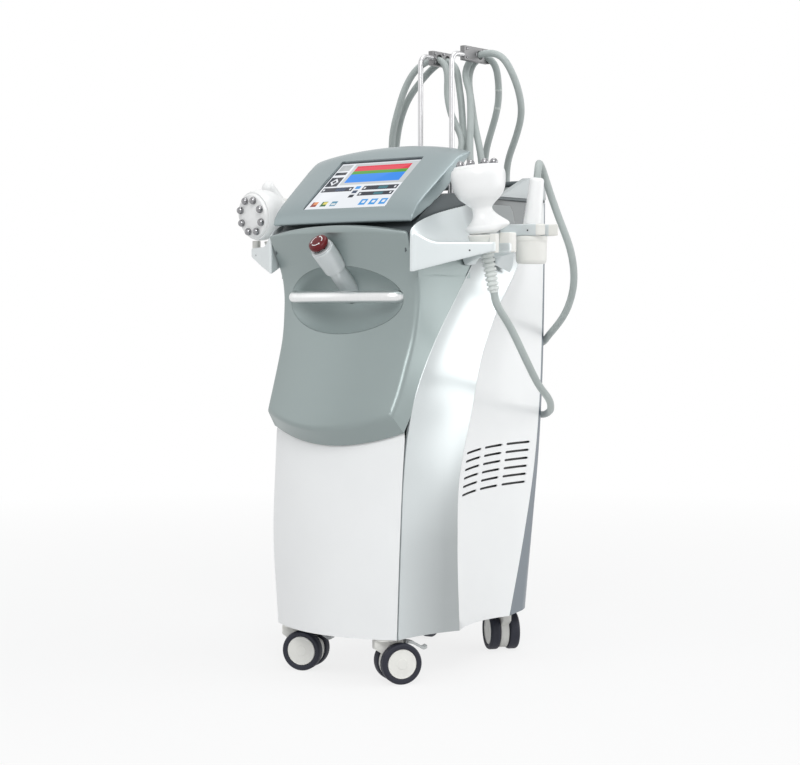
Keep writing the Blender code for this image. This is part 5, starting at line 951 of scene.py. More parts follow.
# Casters: name, place and heading of each, height of the axle, trail, and the pedal's length, place and width
CASTERS = (
    ("front_right", 0.118, -0.205, 56.7), ("front_left", -0.118, -0.205, 20.7),
    ("rear_right", 0.118, 0.195, 140.6), ("rear_left", -0.118, 0.195, 104.0),
)
AXLE_LEVEL, TRAIL = 0.040, 0.026
PEDAL_LENGTH, PEDAL_START, PEDAL_LEVEL, PEDAL_HALF, PEDAL_THICK = 0.044, 0.0420, 0.0790, 0.0095, 0.006
FINISH = {}


def rod(radius, low, high):
    """Profile of a plain cylinder between two heights."""
    return [(0, low), (radius, low), (radius, high), (0, high)]


def tray_edge(y):
    """Tray's outer edge: straight lines through the shares of its reach."""
    rows = np.array(TRAY_EDGE_SHARES)
    depths = TRAY_FRONT_Y + rows[:, 0] * (TRAY_BACK_Y - TRAY_FRONT_Y)
    root = TRAY_INNER + TRAY_ROOT
    return np.interp(y, depths, root + rows[:, 1] * (TRAY_REACH - root))


def tray_levels(x, y):
    """Top and bottom of the tray: a flat holder floor that steps up 3 t^2 - 2 t^3 to the rear arm, a scoop
    that rises to the deck as the square of the way in, and a root that thins out to the tip."""
    back = np.clip((y - FRONT_HOLDER[1] - STEP_LENGTH) / STEP_LENGTH, 0, 1)
    back = back * back * (3 - 2 * back)
    floor = TRAY_LEVEL + (TRAY_REAR_LEVEL - TRAY_LEVEL) * back
    rise = np.clip((TRAY_INNER + SCOOP_WIDTH - x) / SCOOP_WIDTH, 0, 1)
    start = np.clip((y - TRAY_FRONT_Y) / (CASE_LENGTH * 0.9), 0, 1)
    crest = TRAY_LEVEL + SCOOP_LIFT + (SCOOP_TOP - TRAY_LEVEL - SCOOP_LIFT) * np.sqrt(start)
    top = floor + (np.maximum(crest, floor) - floor) * rise**2
    reach = np.clip((x - TRAY_INNER) / (TRAY_REACH - TRAY_INNER), 0, 1)
    edge_reach = np.clip((tray_edge(y) - TRAY_INNER) / (TRAY_REACH - TRAY_INNER), 0, 1)
    front = TRAY_FOOT + TRAY_FOOT_RISE * edge_reach
    return top, front + (TRAY_REAR_BOTTOM - front) * back * np.clip(reach * 3, 0, 1)


def tray_shells(side):
    """Tray between its top and bottom, on a grid of shares of its depth and of its reach at that depth."""
    rows = np.array(TRAY_EDGE_SHARES)[:, 0]
    rows = np.unique(np.concatenate([rows, np.linspace(0, 1, 150)]))
    y = (TRAY_FRONT_Y + rows * (TRAY_BACK_Y - TRAY_FRONT_Y))[:, None]
    x = TRAY_INNER + (tray_edge(y) - TRAY_INNER) * np.linspace(0, 1, 60)[None, :]
    top, bottom = tray_levels(x, y)
    return [wall(flipped(stack(x, y, top), side), flipped(stack(x, y, bottom), side))]


def slot_shells(side):
    """Cutters of the two open slots in a tray."""
    made = []
    for x, y in (FRONT_HOLDER, REAR_HOLDER):
        made.append(revolved(rod(SLOT_RADIUS, 0.77, 0.93), Matrix.Translation((side * x, y, 0)), 48))
        made.append(block((0.12, SLOT_RADIUS * 1.7, 0.16), (side * (x + 0.06), y, TRAY_LEVEL), 0.0002))
    return made


def case_point(x, along, proud):
    """Point on the display: x across, along up its slope, proud out of it."""
    y = CASE_FRONT.y + along * math.cos(CASE_TILT) - proud * math.sin(CASE_TILT)
    z = CASE_FRONT.z + along * math.sin(CASE_TILT) + proud * math.cos(CASE_TILT)
    return stack(x, y, z)


def case_shells():
    """Display case: with a across and s up the slope, its top arches by 1 - a^2, its face is crowned by
    (1 - (2 s - 1)^6) (1 - 0.35 a^6), and its back is a shallow sine."""
    share = ((1 - np.cos(np.linspace(0, math.pi, 90))) / 2)[:, None]
    across = np.sin(np.linspace(-1, 1, 110) * math.pi / 2)[None, :]
    x = (CASE_HALF + CASE_SPREAD * share) * across
    along = share * (CASE_LENGTH + CASE_ARCH * (1 - across**2))
    crown = CASE_CROWN * (1 - (2 * share - 1) ** 6) * (1 - 0.35 * across**6)
    hollow = -CASE_BACK * (0.3 + 0.7 * np.sin(share * math.pi))
    back = case_point(x * (1 - sizes().skin / HALF_WIDTH), along, hollow)
    return [wall(case_point(x, along, crown), back)]


def case_frame():
    """Matrix of the case's slope: +X across, +Y up the slope, +Z out of the screen."""
    x, z = Vector((1, 0, 0)), Vector((0, -math.sin(CASE_TILT), math.cos(CASE_TILT)))
    return Matrix.Translation(CASE_FRONT) @ Matrix((x, z.cross(x), z)).transposed().to_4x4()


def leaning(angle, heading=LEAN_HEADING):
    """Upward direction that leans by an angle towards a heading round from +X."""
    return Vector((math.sin(angle) * math.cos(heading), math.sin(angle) * math.sin(heading), math.cos(angle)))


def smooth_profile(points, count):
    """Profile whose inner points are joined by a smooth curve; its first and last points stay on the axis."""
    points = np.array([(radius, 0.0, height) for radius, height in points])
    return np.concatenate([points[:1], spline(points[1:-1], count), points[-1:]])[:, [0, 2]]


def handpiece_frames():
    """Places and axes of the four handpieces, the two strain reliefs and the two small handles."""
    seat = Vector((*FRONT_HOLDER, 0.8675))
    beak = (math.cos(LEAN_HEADING), math.sin(LEAN_HEADING), 0)
    right = frame_at(seat, leaning(-math.radians(5.6)), beak)
    right_relief = (seat, -leaning(-math.radians(10.4)))
    dip, yaw = math.radians(7.6), math.radians(8)
    axis = Vector((-math.sin(yaw) * math.cos(dip), -math.cos(yaw) * math.cos(dip), -math.sin(dip)))
    seat = Vector((-0.275, -0.159, 0.915)) - axis * 0.130
    left = frame_at(seat, axis, (0, 0, 1))
    left_relief = (seat, -axis)
    foot = Vector((*REAR_HOLDER, TRAY_REAR_BOTTOM - CUP_DEPTH + CUP_FLOOR + 0.003))
    handle_lean = math.radians(7)
    foot -= Vector((math.sin(handle_lean) * HANDLE_LENGTH / 4, 0, 0))
    handle = (foot, leaning(handle_lean, 0))
    lean, yaw = math.radians(45), math.radians(6.5)
    axis = Vector((-math.sin(yaw) * math.cos(lean), -math.cos(yaw) * math.cos(lean), math.sin(lean)))
    wand = (Vector((-0.318, -0.073, 0.989)) - axis * WAND_LENGTH, axis)
    return right, right_relief, left, left_relief, handle, wand


def bowl_shells(matrix, heading=0.0):
    """Bowl turned from its profile, whose foot swells into a beak on one side: its radius grows by the
    beak's own line times cos(a)^8 about its heading, with a short underside and a long hollow upper side."""
    profile = smooth_profile([(r * BOWL_RADIUS, h * BOWL_HEIGHT) for r, h in BOWL_SHARES], 170)
    turn = np.linspace(0, 2 * np.pi, 144, endpoint=False)[None, :]
    radius, height = profile[:, :1], profile[:, 1:]
    swell = smooth_line(height, *zip(*BEAK))
    radius = radius + swell * (radius > 0.002) * np.clip(np.cos(turn - heading), 0, 1) ** 8
    points = stack(radius * np.cos(turn), radius * np.sin(turn), height)
    return [(moved(points, matrix).reshape(-1, 3), quads(len(profile), 144, True))]


def head_shells(matrix):
    """Face plate: a disc with a rounded rim."""
    plate = [(0, 0), (0.0462, 0), (0.0466, 0.0006), (0.0446, 0.0048), (0.0434, 0.0058),
             (0.0420, PLATE_THICK), (0, PLATE_THICK)]
    return [revolved([(radius, PLATE_LIFT + rise) for radius, rise in plate], matrix, 112)]


def dome_shells(matrix):
    """Ring of domes, each a cap of a sphere that stands clear of the plate on a fine collar."""
    made = []
    level = PLATE_LIFT + PLATE_THICK + DOME_CLEAR
    arc = [(DOME_RADIUS * math.cos(a), DOME_RADIUS * math.sin(a)) for a in np.linspace(-0.3, math.pi / 2, 18)]
    dome = [(0, arc[0][1])] + arc[:-1] + [(0, DOME_RADIUS)]
    for n in range(DOMES):
        turn = 2 * math.pi * (n + 0.5) / DOMES
        spot = Vector((DOME_RING * math.cos(turn), DOME_RING * math.sin(turn), level))
        made.append(revolved(dome, matrix @ Matrix.Translation(spot), 40))
    return made


def relief_shells(seat, direction):
    """Ribbed relief: a collar, then discs on a thinner core, each a little smaller than the one below it."""
    pitch = (RELIEF_LENGTH - RELIEF_COLLAR) / (RELIEF_RIBS + 0.5)
    profile = [(0, RELIEF_LENGTH), (0.0105 * 0.85, RELIEF_LENGTH)]
    for n in range(RELIEF_RIBS):
        radius = 0.0115 + 0.0016 * n / (RELIEF_RIBS - 1)
        start = RELIEF_LENGTH - pitch * (n + 0.5)
        core = radius * RELIEF_CORE
        profile += [(core, start + pitch * 0.08), (core, start), (radius, start - pitch * 0.14),
                    (radius, start - pitch * 0.66), (core, start - pitch * 0.8)]
    profile += [(0.0120, RELIEF_COLLAR * 0.85), (0.0120, 0), (0, 0)]
    place = frame_at(seat + direction * 0.0014, direction, (1, 0, 0))
    return [revolved(rounded(profile, 0.0006, 4), place, 64)]


def place_along(foot, axis):
    """Matrix with its origin at a foot and +Z along an axis."""
    return frame_at(foot, axis, (1, 0, 0))


def hose_path(start, shares, last, outward):
    """Hose's line: straight out of its fitting, along its route, and squarely into its end. Five rounds of
    (before + 2 here + after) / 4 ease it, less and less towards its ends."""
    first = start + Vector((0, 0, 0.0003))
    points = [first, first + Vector((0, 0, 0.0073))]
    points += [Vector(row) * HANG_HEIGHT for row in shares]
    points += [last + outward * 0.0149, last + outward * 0.0003]
    path = spline([tuple(point) for point in points], 170)
    for _ in range(5):
        middle = (path[:-2] + path[2:]) * 0.25 + path[1:-1] * 0.5
        fade = np.minimum(np.arange(1, 169), np.arange(168, 0, -1))[:, None]
        path[1:-1] += (middle - path[1:-1]) * np.clip((fade - 2) / 6, 0, 1)
    return path


def ring_on(path, share, length, radius):
    """Band round a hose: part of its own line with a larger section, whose radius falls by t^10 at its
    ends."""
    middle = int(share * (len(path) - 1))
    fine = spline(path[middle - 2:middle + 3], 60)
    run = np.concatenate([[0], np.cumsum(np.linalg.norm(np.diff(fine, axis=0), axis=1))])
    fine = fine[np.abs(run - run[-1] / 2) <= length / 2]
    t = np.linspace(-1, 1, len(fine))
    return piped(fine, radius - 0.0004 * t**10, 32)


def make_finishes():
    """Fills the table of finishes from the panel's colours."""
    c = colours()
    FINISH["shield"] = satin_paint("shield_satin", c.shield, 0.60, 0.38)
    FINISH["white"] = moulded("white_panel", c.white, 0.30, 700.0, 0.03, 0.25)
    FINISH["deck"] = moulded("deck_texture", c.deck, 0.48, 1400.0, 0.25)
    FINISH["cream"] = moulded("cream_plastic", c.cream, 0.40, 1100.0, 0.06)
    FINISH["handpiece"] = moulded("handpiece_shell", c.handpiece, 0.32, 900.0, 0.03, 0.15)
    FINISH["hose"] = rubber("hose_tube", c.hose, 0.50)
    FINISH["relief"] = rubber("relief_rubber", (0.70, 0.735, 0.715), 0.50)
    FINISH["tyre"] = rubber("tyre_tread", c.tyre, 0.62)
    FINISH["steel"] = brushed("hanger_steel", c.steel, 0.30)
    FINISH["chrome"] = brushed("dome_chrome", (0.30, 0.30, 0.31), 0.10, (120.0, 120.0, 120.0))
    FINISH["polished"] = brushed("polished_bar", (0.80, 0.81, 0.81), 0.30, (900.0, 40.0, 40.0))
    FINISH["band"] = band_paint(shade(c.silver, 1.37))
    FINISH["cheek"] = satin_paint("cheek_satin", shade(c.silver, 1.00), 0.20, 0.52)
    FINISH["clamp"] = brushed("clamp_steel", shade(c.steel, 0.38), 0.45)
    FINISH["hub"] = moulded("hub_plastic", shade(c.cream, 1.07), 0.36, 1100.0, 0.04)
    FINISH["case"] = satin_paint("case_satin", (0.300, 0.358, 0.368), 0.60, 0.34)
    FINISH["dish"] = satin_paint("dish_satin", shade(c.shield, 1.22), 0.40, 0.44)
    FINISH["rear"] = satin_paint("rear_satin", c.rear, 0.45, 0.40)
    FINISH["tray"] = tray_paint(c.silver, c.cream)
    FINISH["stalk"] = satin_paint("stalk_satin", shade(c.silver, 1.30), 0.25, 0.30)
    FINISH["black"] = moulded("black_plastic", (0.020, 0.021, 0.023), 0.42, 1200.0, 0.15)
    FINISH["module"] = brushed("module_sheet", (0.30, 0.31, 0.32), 0.42, (900.0, 40.0, 40.0))
    FINISH["frame"] = brushed("frame_steel", (0.48, 0.49, 0.50), 0.40, (40.0, 40.0, 900.0))
    FINISH["pedal"] = moulded("pedal_plastic", (0.52, 0.54, 0.54), 0.42, 900.0, 0.06)
    FINISH["tape"] = moulded("tape_band", (0.56, 0.60, 0.58), 0.45, 1500.0, 0.10)
    FINISH["screen"] = screen_glass()
    FINISH["stop"] = stop_red(c.red)


def tray_paint(silver, cream):
    """Satin paint with flakes, whose rear arm ends in a cream cap beyond 0.3195 from the middle plane. Near
    the body it has painted shade of the display: darker by clipped 250 (z - 0.870) times clipped 20 (y +
    0.045)."""
    paint = Paint("tray_satin", 0.36, 0.0, LACQUER_COAT)
    x, y, z = paint.axes(paint.place())
    cap = (abs(x) > 0.3195) * (y > -0.02)
    flakes, cloud = paint.lacquer()
    tone = (flakes * 0.5 + cloud * 0.5).clipped()
    # painted shade: the tray goes darker near the body under the display, standing in for the display's
    # shadow
    painted_display_shade = ((z - 0.870) * 250.0).clipped() * ((y + 0.045) * (1 / 0.05)).clipped() * (abs(x) < 0.24)
    satin = paint.mix(tone, shade(silver, 1.44), shade(silver, 1.58))
    satin = paint.mix(painted_display_shade * 0.80, satin, shade(silver, 0.40))
    paint.feed("Base Color", paint.mix(cap, satin, cream))
    paint.feed("Metallic", 0.45 - cap * 0.45)
    paint.feed("Roughness", 0.33 + cloud * 0.06)
    return paint.orange_peel()


def band_paint(silver):
    """Satin silver of the side bands with painted shade: darker by a clipped ramp up under the trays, as
    their painted shadow, and by the product of two clipped ramps towards the foot of their rear edge."""
    paint = Paint("band_satin", 0.30, 0.72, LACQUER_COAT)
    _, y, z = paint.axes(paint.place())
    flakes, cloud = paint.lacquer()
    # painted shadow of the trays on the band, then painted shade towards the foot of its rear edge
    shadow = ((z - 0.775) * (1 / 0.085)).clipped()
    foot = ((y + 0.23) * (1 / 0.14)).clipped() * ((0.62 - z) * (1 / 0.35)).clipped()
    tone = (0.93 + (flakes + cloud) * 0.07) * (1.0 - shadow * 0.80) * (1.0 - foot * 0.36)
    paint.feed("Base Color", paint.mix(tone.clipped(), (0, 0, 0), silver))
    paint.feed("Roughness", 0.27 + cloud * 0.06)
    return paint.orange_peel()


def stop_red(colour):
    """Glossy red head with three white arcs round its middle: with r from its axis and n the share of a third
    of a turn, an arc is 0.53 < r < 0.62 and n < 0.72, and its tip is a wedge about n = 0.70."""
    paint = Paint("stop_head", 0.30)
    paint.shader.inputs["Specular IOR Level"].default_value = 0.3
    place = paint.from_point(STALK_FOOT)
    across = paint.along(place, (1, 0, 0))
    upward = paint.along(place, STALK_AXIS.cross(Vector((1, 0, 0))))
    radius = (across * across + upward * upward).root() * (1 / 0.0205)
    angle = upward.maths("ARCTAN2", across) * (3 / (2 * math.pi)) + 3.0
    arc = (radius > 0.53) * (radius < 0.62) * (angle.rest() < 0.72)
    tip = (abs(angle.rest() - 0.70) < (0.13 - abs(radius - 0.575)) * 0.60) * (radius > 0.45) * (radius < 0.70)
    mark = arc.most(tip)
    cloud = paint.noise(60.0, 2.0)
    red = paint.mix(cloud, shade(colour, 0.9), shade(colour, 1.1))
    paint.feed("Base Color", paint.mix(mark, red, (0.80, 0.80, 0.80)))
    paint.feed("Roughness", 0.20 + cloud * 0.05 + mark * 0.15)
    return paint.bump(mark + paint.noise(900.0) * 0.05, 0.05, 0.0003).material


def screen_glass():
    """Lit screen: blocks of flat colour laid out by the place across and up the glass, under a clear coat."""
    paint = Paint("lit_screen", 0.10, 0.0, 0.0)
    paint.shader.inputs["Specular IOR Level"].default_value = 0.06
    place = paint.from_point(CASE_FRONT)
    along = paint.along(place, (0, math.cos(CASE_TILT), math.sin(CASE_TILT)))
    u = paint.along(place, (1, 0, 0)) * (0.5 / SCREEN_HALF_WIDTH) + 0.5
    v = (along - SCREEN_ALONG) * (0.5 / SCREEN_HALF_HEIGHT) + 0.5

    def area(left, right, low, high):
        return (u > left) * (u < right) * (v > low) * (v < high)

    dark, navy, grey = (0.012, 0.016, 0.028), (0.025, 0.050, 0.110), (0.50, 0.53, 0.54)
    red, green, blue = (0.80, 0.010, 0.045), (0.060, 0.36, 0.006), (0.0, 0.255, 0.90)
    teal, sky, white = (0.02, 0.16, 0.20), (0.03, 0.33, 0.80), (0.90, 0.93, 0.97)
    layers = [
        (0.02, 0.16, 0.82, 0.95, grey), (0.02, 0.16, 0.73, 0.79, dark), (0.02, 0.17, 0.48, 0.68, dark),
        (0.19, 0.97, 0.50, 0.96, (0.62, 0.65, 0.66)), (0.23, 0.90, 0.80, 0.91, red),
        (0.23, 0.90, 0.73, 0.80, green), (0.23, 0.90, 0.55, 0.73, blue),
        (0.03, 0.41, 0.36, 0.45, dark), (0.20, 0.32, 0.375, 0.435, navy),
        (0.53, 0.95, 0.37, 0.46, dark), (0.72, 0.83, 0.385, 0.445, teal),
        (0.53, 0.95, 0.25, 0.33, dark), (0.72, 0.83, 0.265, 0.315, teal),
        (0.435, 0.495, 0.40, 0.46, sky), (0.435, 0.495, 0.31, 0.37, navy), (0.435, 0.495, 0.22, 0.28, dark),
        (0.05, 0.12, 0.05, 0.15, (0.30, 0.04, 0.03)), (0.07, 0.12, 0.09, 0.15, (0.80, 0.28, 0.08)),
        (0.17, 0.24, 0.05, 0.15, (0.05, 0.16, 0.05)), (0.19, 0.24, 0.09, 0.14, (0.85, 0.72, 0.15)),
        (0.29, 0.36, 0.05, 0.15, (0.10, 0.30, 0.45)), (0.30, 0.35, 0.07, 0.11, (0.75, 0.80, 0.82)),
        (0.64, 0.72, 0.05, 0.17, sky), (0.76, 0.84, 0.05, 0.17, sky), (0.88, 0.96, 0.05, 0.17, sky),
        (0.00, 0.008, 0.0, 1.0, dark), (0.0, 1.0, 0.978, 1.0, dark), (0.994, 1.0, 0.0, 1.0, dark),
        (0.665, 0.70, 0.09, 0.14, white), (0.785, 0.82, 0.09, 0.14, white), (0.905, 0.94, 0.09, 0.14, white),
        (0.04, 0.06, 0.385, 0.425, white), (0.37, 0.39, 0.385, 0.425, white),
        (0.545, 0.565, 0.395, 0.435, white), (0.91, 0.93, 0.395, 0.435, white),
        (0.545, 0.565, 0.275, 0.31, white), (0.91, 0.93, 0.275, 0.31, white),
    ]
    shown = white
    for left, right, low, high, colour in layers:
        shown = paint.mix(area(left, right, low, high), shown, colour)
    arrows = abs(u - 0.095) * 6 + abs(v - 0.58) * 4
    button = area(0.03, 0.16, 0.50, 0.66) * (arrows < 0.30) * (arrows > 0.16)
    shown = paint.mix(button, shown, white)
    glow = paint.noise(5.0, 1.0)
    paint.feed("Base Color", (0.02, 0.02, 0.022, 1.0))
    paint.feed("Emission Color", paint.mix(glow, shown, paint.mix(0.06, shown, white)))
    paint.feed("Emission Strength", 0.92)
    paint.feed("Roughness", 0.07 + glow * 0.04)
    return paint.material


def make_hoses():
    """Each hose runs from its fitting over the hanger to its handpiece."""
    level = DECK_TOP + FITTING_HEIGHT
    _, right_relief, _, left_relief, handle, wand = handpiece_frames()
    ends = {
        "right_big_hose": (right_relief[0] + right_relief[1] * RELIEF_END, right_relief[1]),
        "right_small_hose": (handle[0] + handle[1] * HANDLE_LENGTH, handle[1]),
        "left_big_hose": (left_relief[0] + left_relief[1] * RELIEF_END, left_relief[1]),
        "left_small_hose": (wand[0], -wand[1]),
    }
    for (name, (x, y)), shares in zip(STUBS.items(), ROUTES):
        path = hose_path(Vector((x, y, level)), shares, *ends[name])
        mesh = mesh_of(name + "_tube", [piped(path, sizes().hose_radius, 28)])
        obj = new_object(name + "_tube", mesh, FINISH["hose"])
        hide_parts(name)
        handpiece, start, end = HOSE_TURNS[name]
        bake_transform(obj)
        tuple(start)
        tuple(end)
        if name == "right_big_hose":
            bands = [ring_on(path, share, TAPE_LENGTH, TAPE_RADIUS) for share in TAPE_SHARES]
            piece("tape_bands", bands, FINISH["tape"])


def make_front():
    """Lower panel, shield, dish and grip; the grip's ends and the stop button's post pass through holes."""
    z = np.linspace(PLATE_LEVEL, PANEL_TOP, 70)[:, None]
    tuck = np.clip((z - (PANEL_TOP - PANEL_TUCK_RISE)) / PANEL_TUCK_RISE, 0, 1)
    half = body_line(CORNER_SHARES, z)[0] - PANEL_TUCK * tuck
    x = half * np.linspace(-1, 1, 60)[None, :]
    inner = stack(x * (1 - sizes().skin / half), panel_depth(x, z) + sizes().skin, z)
    piece("lower_front", [wall(stack(x, panel_depth(x, z), z), inner)], FINISH["white"], "front_panel")
    shield = piece("shield_cover", shield_shells(), FINISH["shield"], "front_shield")
    dish = piece("oval_dish", dish_shells(), FINISH["dish"], "hand_dish")
    path = grip_path()
    stalk = place_along(STALK_FOOT - STALK_AXIS * 0.032, STALK_AXIS)
    sleeve = place_along(STALK_FOOT + STALK_AXIS * 0.063, STALK_AXIS)
    cutters = [piped(path, 0.0127, 32), revolved(rod(0.0198, 0, 0.096), stalk, 64)]
    cut(dish, cutters, "dish_holes")
    cut(shield, cutters + [revolved(rod(0.0245, 0, 0.112), sleeve, 64)], "shield_holes")
    piece("grip_tube", [piped(path, 0.0115, 36)], FINISH["polished"], "grip_bar")


def make_stop_knob():
    """Post with a recess at its top, the collar in that, and the button, turned about the leaning axis."""
    place = place_along(STALK_FOOT, STALK_AXIS)
    post = [(0, 0.1135), (0.0118, 0.1135), (0.0118, 0.120), (0.0225, 0.120), (0.0235, 0.1175),
            (0.0235, 0.0655), (0.0228, 0.064), (0.0195, 0.064), (0.0195, -0.016), (0, -0.016)]
    piece("stop_post", [revolved(rounded(post, 0.0015), place)], FINISH["stalk"], "stop_stalk")
    ring = [(0.0155, 0.1203), (0.0220, 0.1203), (0.0222, 0.1215), (0.0216, 0.1231), (0.0155, 0.1231)]
    collar = revolved(rounded_loop(ring, 0.0005), place, ring=True)
    piece("stop_collar", [collar], FINISH["stalk"], "stop_ring")
    head = [(0, 0.0003), (0.011, 0.0003), (0.011, 0.0073), (0.0190, 0.0073), (0.0205, 0.0131),
            (0.0192, 0.0177), (0.0132, 0.0199), (0, 0.0203)]
    place = place_along(STALK_FOOT + STALK_AXIS * 0.1203, STALK_AXIS)
    piece("stop_knob", [revolved(rounded(head, 0.0025), place)], FINISH["stop"], "stop_button")


def make_flanks():
    """Each side's band with a bead along its front, its panel with louvres, and the mat behind those."""
    z = np.linspace(PLATE_LEVEL, SHELL_TOP, 110)[:, None]
    filter_z = np.linspace(*FILTER_LEVELS, 24)[:, None]
    for word, side in SIDES:
        band = wall(*(flipped(band_points(z, 28, inset), side) for inset in (0.0, sizes().skin)))
        strip_x, strip_y = body_line(STRIP_SHARES, z[1:-1])
        bead = np.concatenate([strip_x - 0.0006, strip_y + sizes().seam + 0.0006, z[1:-1]], 1)
        shells = [band, piped(flipped(bead, side), 0.0013, 12)]
        piece(word + "_band", shells, FINISH["band"], word + "_side_band")
        skins = [flipped(side_points(z, 40, inset), side) for inset in (0.0, sizes().skin)]
        flank = piece(word + "_flank", [wall(*skins)], FINISH["white"], word + "_side_panel")
        cut(flank, vent_shells(side), word + "_louvres")
        mat = wall(*(flipped(side_points(filter_z, 24, inset), side) for inset in FILTER_INSETS))
        piece(word + "_vent_filter", [mat], FINISH["black"])


def make_rear():
    """Rear shell with a hole for the mains inlet, and the finishes of what stays as it is inside."""
    z = np.linspace(PLATE_LEVEL, SHELL_TOP, 90)[:, None]
    shell = wall(rear_points(z, 0.0), rear_points(z, sizes().skin))
    cover = piece("rear_cover", [shell], FINISH["rear"], "rear_panel")
    cut(cover, [block((0.049, 0.20, 0.076), (0, 0.275, 0.190), 0.0002)], "inlet_hole")
    for node in ("power_inlet", "mains_switch", "fan_frame", "fan_rotor"):
        finish_node(node, FINISH["black"])
    for node in ("chassis_frame", "base_plate"):
        finish_node(node, FINISH["frame"])
    for node in ("rf_generator", "vacuum_pump"):
        finish_node(node, FINISH["module"])


def make_deck():
    """Deck with its post holes, the skirts under its sloping edges, the two cheeks and the push bar."""
    y = np.linspace(DECK_FRONT, DECK_REAR, 90)[:, None]
    x = deck_half(y) * np.linspace(-1, 1, 50)[None, :]
    z = deck_level(y) + 0 * x
    sheet = wall(stack(x, y, z), stack(x, y, z - DECK_THICK))
    deck = piece("deck_sheet", [sheet], FINISH["deck"], "top_deck")
    holes = [revolved(rod(0.0058, 0.93, 0.97), Matrix.Translation((side * POST_X, POST_Y, 0)), 40)
             for _, side in SIDES]
    cut(deck, holes, "post_holes")
    y = np.linspace(-0.2030, 0.0450, 60)[:, None]
    x = deck_half(y) - 0.0004
    z = deck_level(y) - 0.0049 - np.linspace(0, 0.026, 6)[None, :] * np.clip((0.047 - y) / 0.02, 0.2, 1)
    skirts = [wall(*(flipped(stack(x - drop, y, z), side) for drop in (0.0, 0.002))) for _, side in SIDES]
    piece("deck_skirts", skirts, FINISH["deck"])
    outline = rounded_loop([(0.100, DECK_TOP), (0.197, 0.994), (0.256, 0.991), (0.262, DECK_TOP)], 0.004)
    for word, side in SIDES:
        cheek = slab(outline, -0.009, 0.009, Matrix.Translation((side * CHEEK_X, 0, 0)) @ ACROSS, 0.0025)
        piece(word + "_cheek_block", [cheek], FINISH["cheek"], word + "_cheek")
    points, faces = block((0.026, 0.0112, 0.3154), (0, 0, 0), 0.0005, 0.005, ACROSS)
    piece("push_handle", [(points + np.array(PUSH_BAR), faces)], FINISH["deck"], "push_bar")
    finish_node("display_bracket", FINISH["deck"])


def make_trays():
    """Each side's tray with its root, caps, screws and front holder; the cup on the right; and the wand's
    socket on the left."""
    y, z = np.linspace(-0.1750, -0.0080, 60)[:, None], np.linspace(0.784, 0.868, 8)[None, :]
    for word, side in SIDES:
        root = [flipped(stack(x, y, z), side) for x in (0.1760, 0.1740)]
        piece(word + "_tray_root", [wall(*root)], FINISH["shield"])
    screw = rounded([(0, -0.001), (0.0017, -0.001), (0.0017, 0.0005), (0.0007, 0.0003), (0, 0.0001)], 0.0002)
    ring = [(0.0175, 0.8503), (0.025, 0.8503), (0.030, 0.8613), (0.030, 0.8643), (0.0205, 0.8643),
            (0.0175, 0.8613)]
    for word, side in SIDES:
        tray = piece(word + "_tray_moulding", tray_shells(side), FINISH["tray"], word + "_tray")
        cut(tray, slot_shells(side), word + "_slots")
        softened(tray, 0.0016, 7)
        caps = [block((0.0160, 0.0115, 0.036), (side * 0.3080, -0.1102, 0.8480), 0.0015, 0.003),
                block((0.0300, 0.0220, 0.038), (side * 0.3010, -0.0560, 0.8510), 0.0025, 0.006)]
        piece(word + "_fork_caps", caps, FINISH["cream"])
        screws = []
        for (x, *spot), (across, *facing) in TRAY_SCREWS:
            place = frame_at(Vector((side * x, *spot)), Vector((side * across, *facing)), (0, 0, 1))
            screws.append(revolved(screw, place, 24))
        piece(word + "_tray_screws", screws, FINISH["black"])
        x, depth = FRONT_HOLDER
        seat = revolved(rounded_loop(ring, 0.0012), Matrix.Translation((side * x, depth, 0)), ring=True)
        holder = piece(word + "_holder_ring", [seat], FINISH["cream"], word + "_front_holder")
        gate = block((0.060, 0.030, 0.08), (side * (x + 0.030), depth, 0.8503), 0.0002)
        cut(holder, [gate], word + "_gate")
    top = TRAY_REAR_BOTTOM - 0.0003
    foot = top - CUP_DEPTH
    cup = [(0, foot + CUP_FLOOR), (0.023, foot + CUP_FLOOR), (0.023, top), (0.0315, top),
           (0.0315, top - 0.009), (0.0305, top - 0.0105), (0.030, foot + 0.006), (0.027, foot), (0, foot)]
    cup = revolved(rounded(cup, 0.002), Matrix.Translation((*REAR_HOLDER, 0)))
    piece("rear_cup", [cup], FINISH["cream"], "right_rear_cup")
    socket = place_along(*handpiece_frames()[5])
    shells = [block((0.016, 0.080, 0.0327), (-0.332, 0.004, 0.90565), 0.002, 0.004),
              revolved(rounded(rod(0.0205, 0.0003, 0.0243), 0.002), socket, 64)]
    arm = piece("wand_socket_arm", shells, FINISH["cream"], "left_wand_socket")
    cut(arm, [revolved(rod(0.0152, -0.02, 0.0443), socket, 64)], "socket_bore")


def make_display():
    """Case with a pocket for the screen, the glass in that, and the lug and barrel of its hinge."""
    case = piece("display_shell", case_shells(), FINISH["case"], "display_case")
    softened(case, 0.0017, 3)
    frame = case_frame()
    pocket = block((0.212, 0.159, 0.040), (0, SCREEN_ALONG, 0.0305), 0.0002, 0.0005, frame)
    cut(case, [pocket], "screen_pocket")
    glass = block((0.211, 0.158, 0.004), (0, SCREEN_ALONG, 0.013), 0.0004, 0.0006, frame)
    piece("lit_glass", [glass], FINISH["screen"], "touch_screen")
    hinge = frame @ Vector((0, HINGE_ALONG, -0.030))
    lug = block((0.050, 0.0144, 0.030), (0, HINGE_ALONG, -0.0195), 0.001, 0.001, frame)
    barrel = revolved(rod(0.009, -0.025, 0.025), frame_at(hinge, (1, 0, 0), (0, 1, 0)), 48)
    piece("display_hinge", [lug, barrel], FINISH["deck"], "display_case", stands=False)


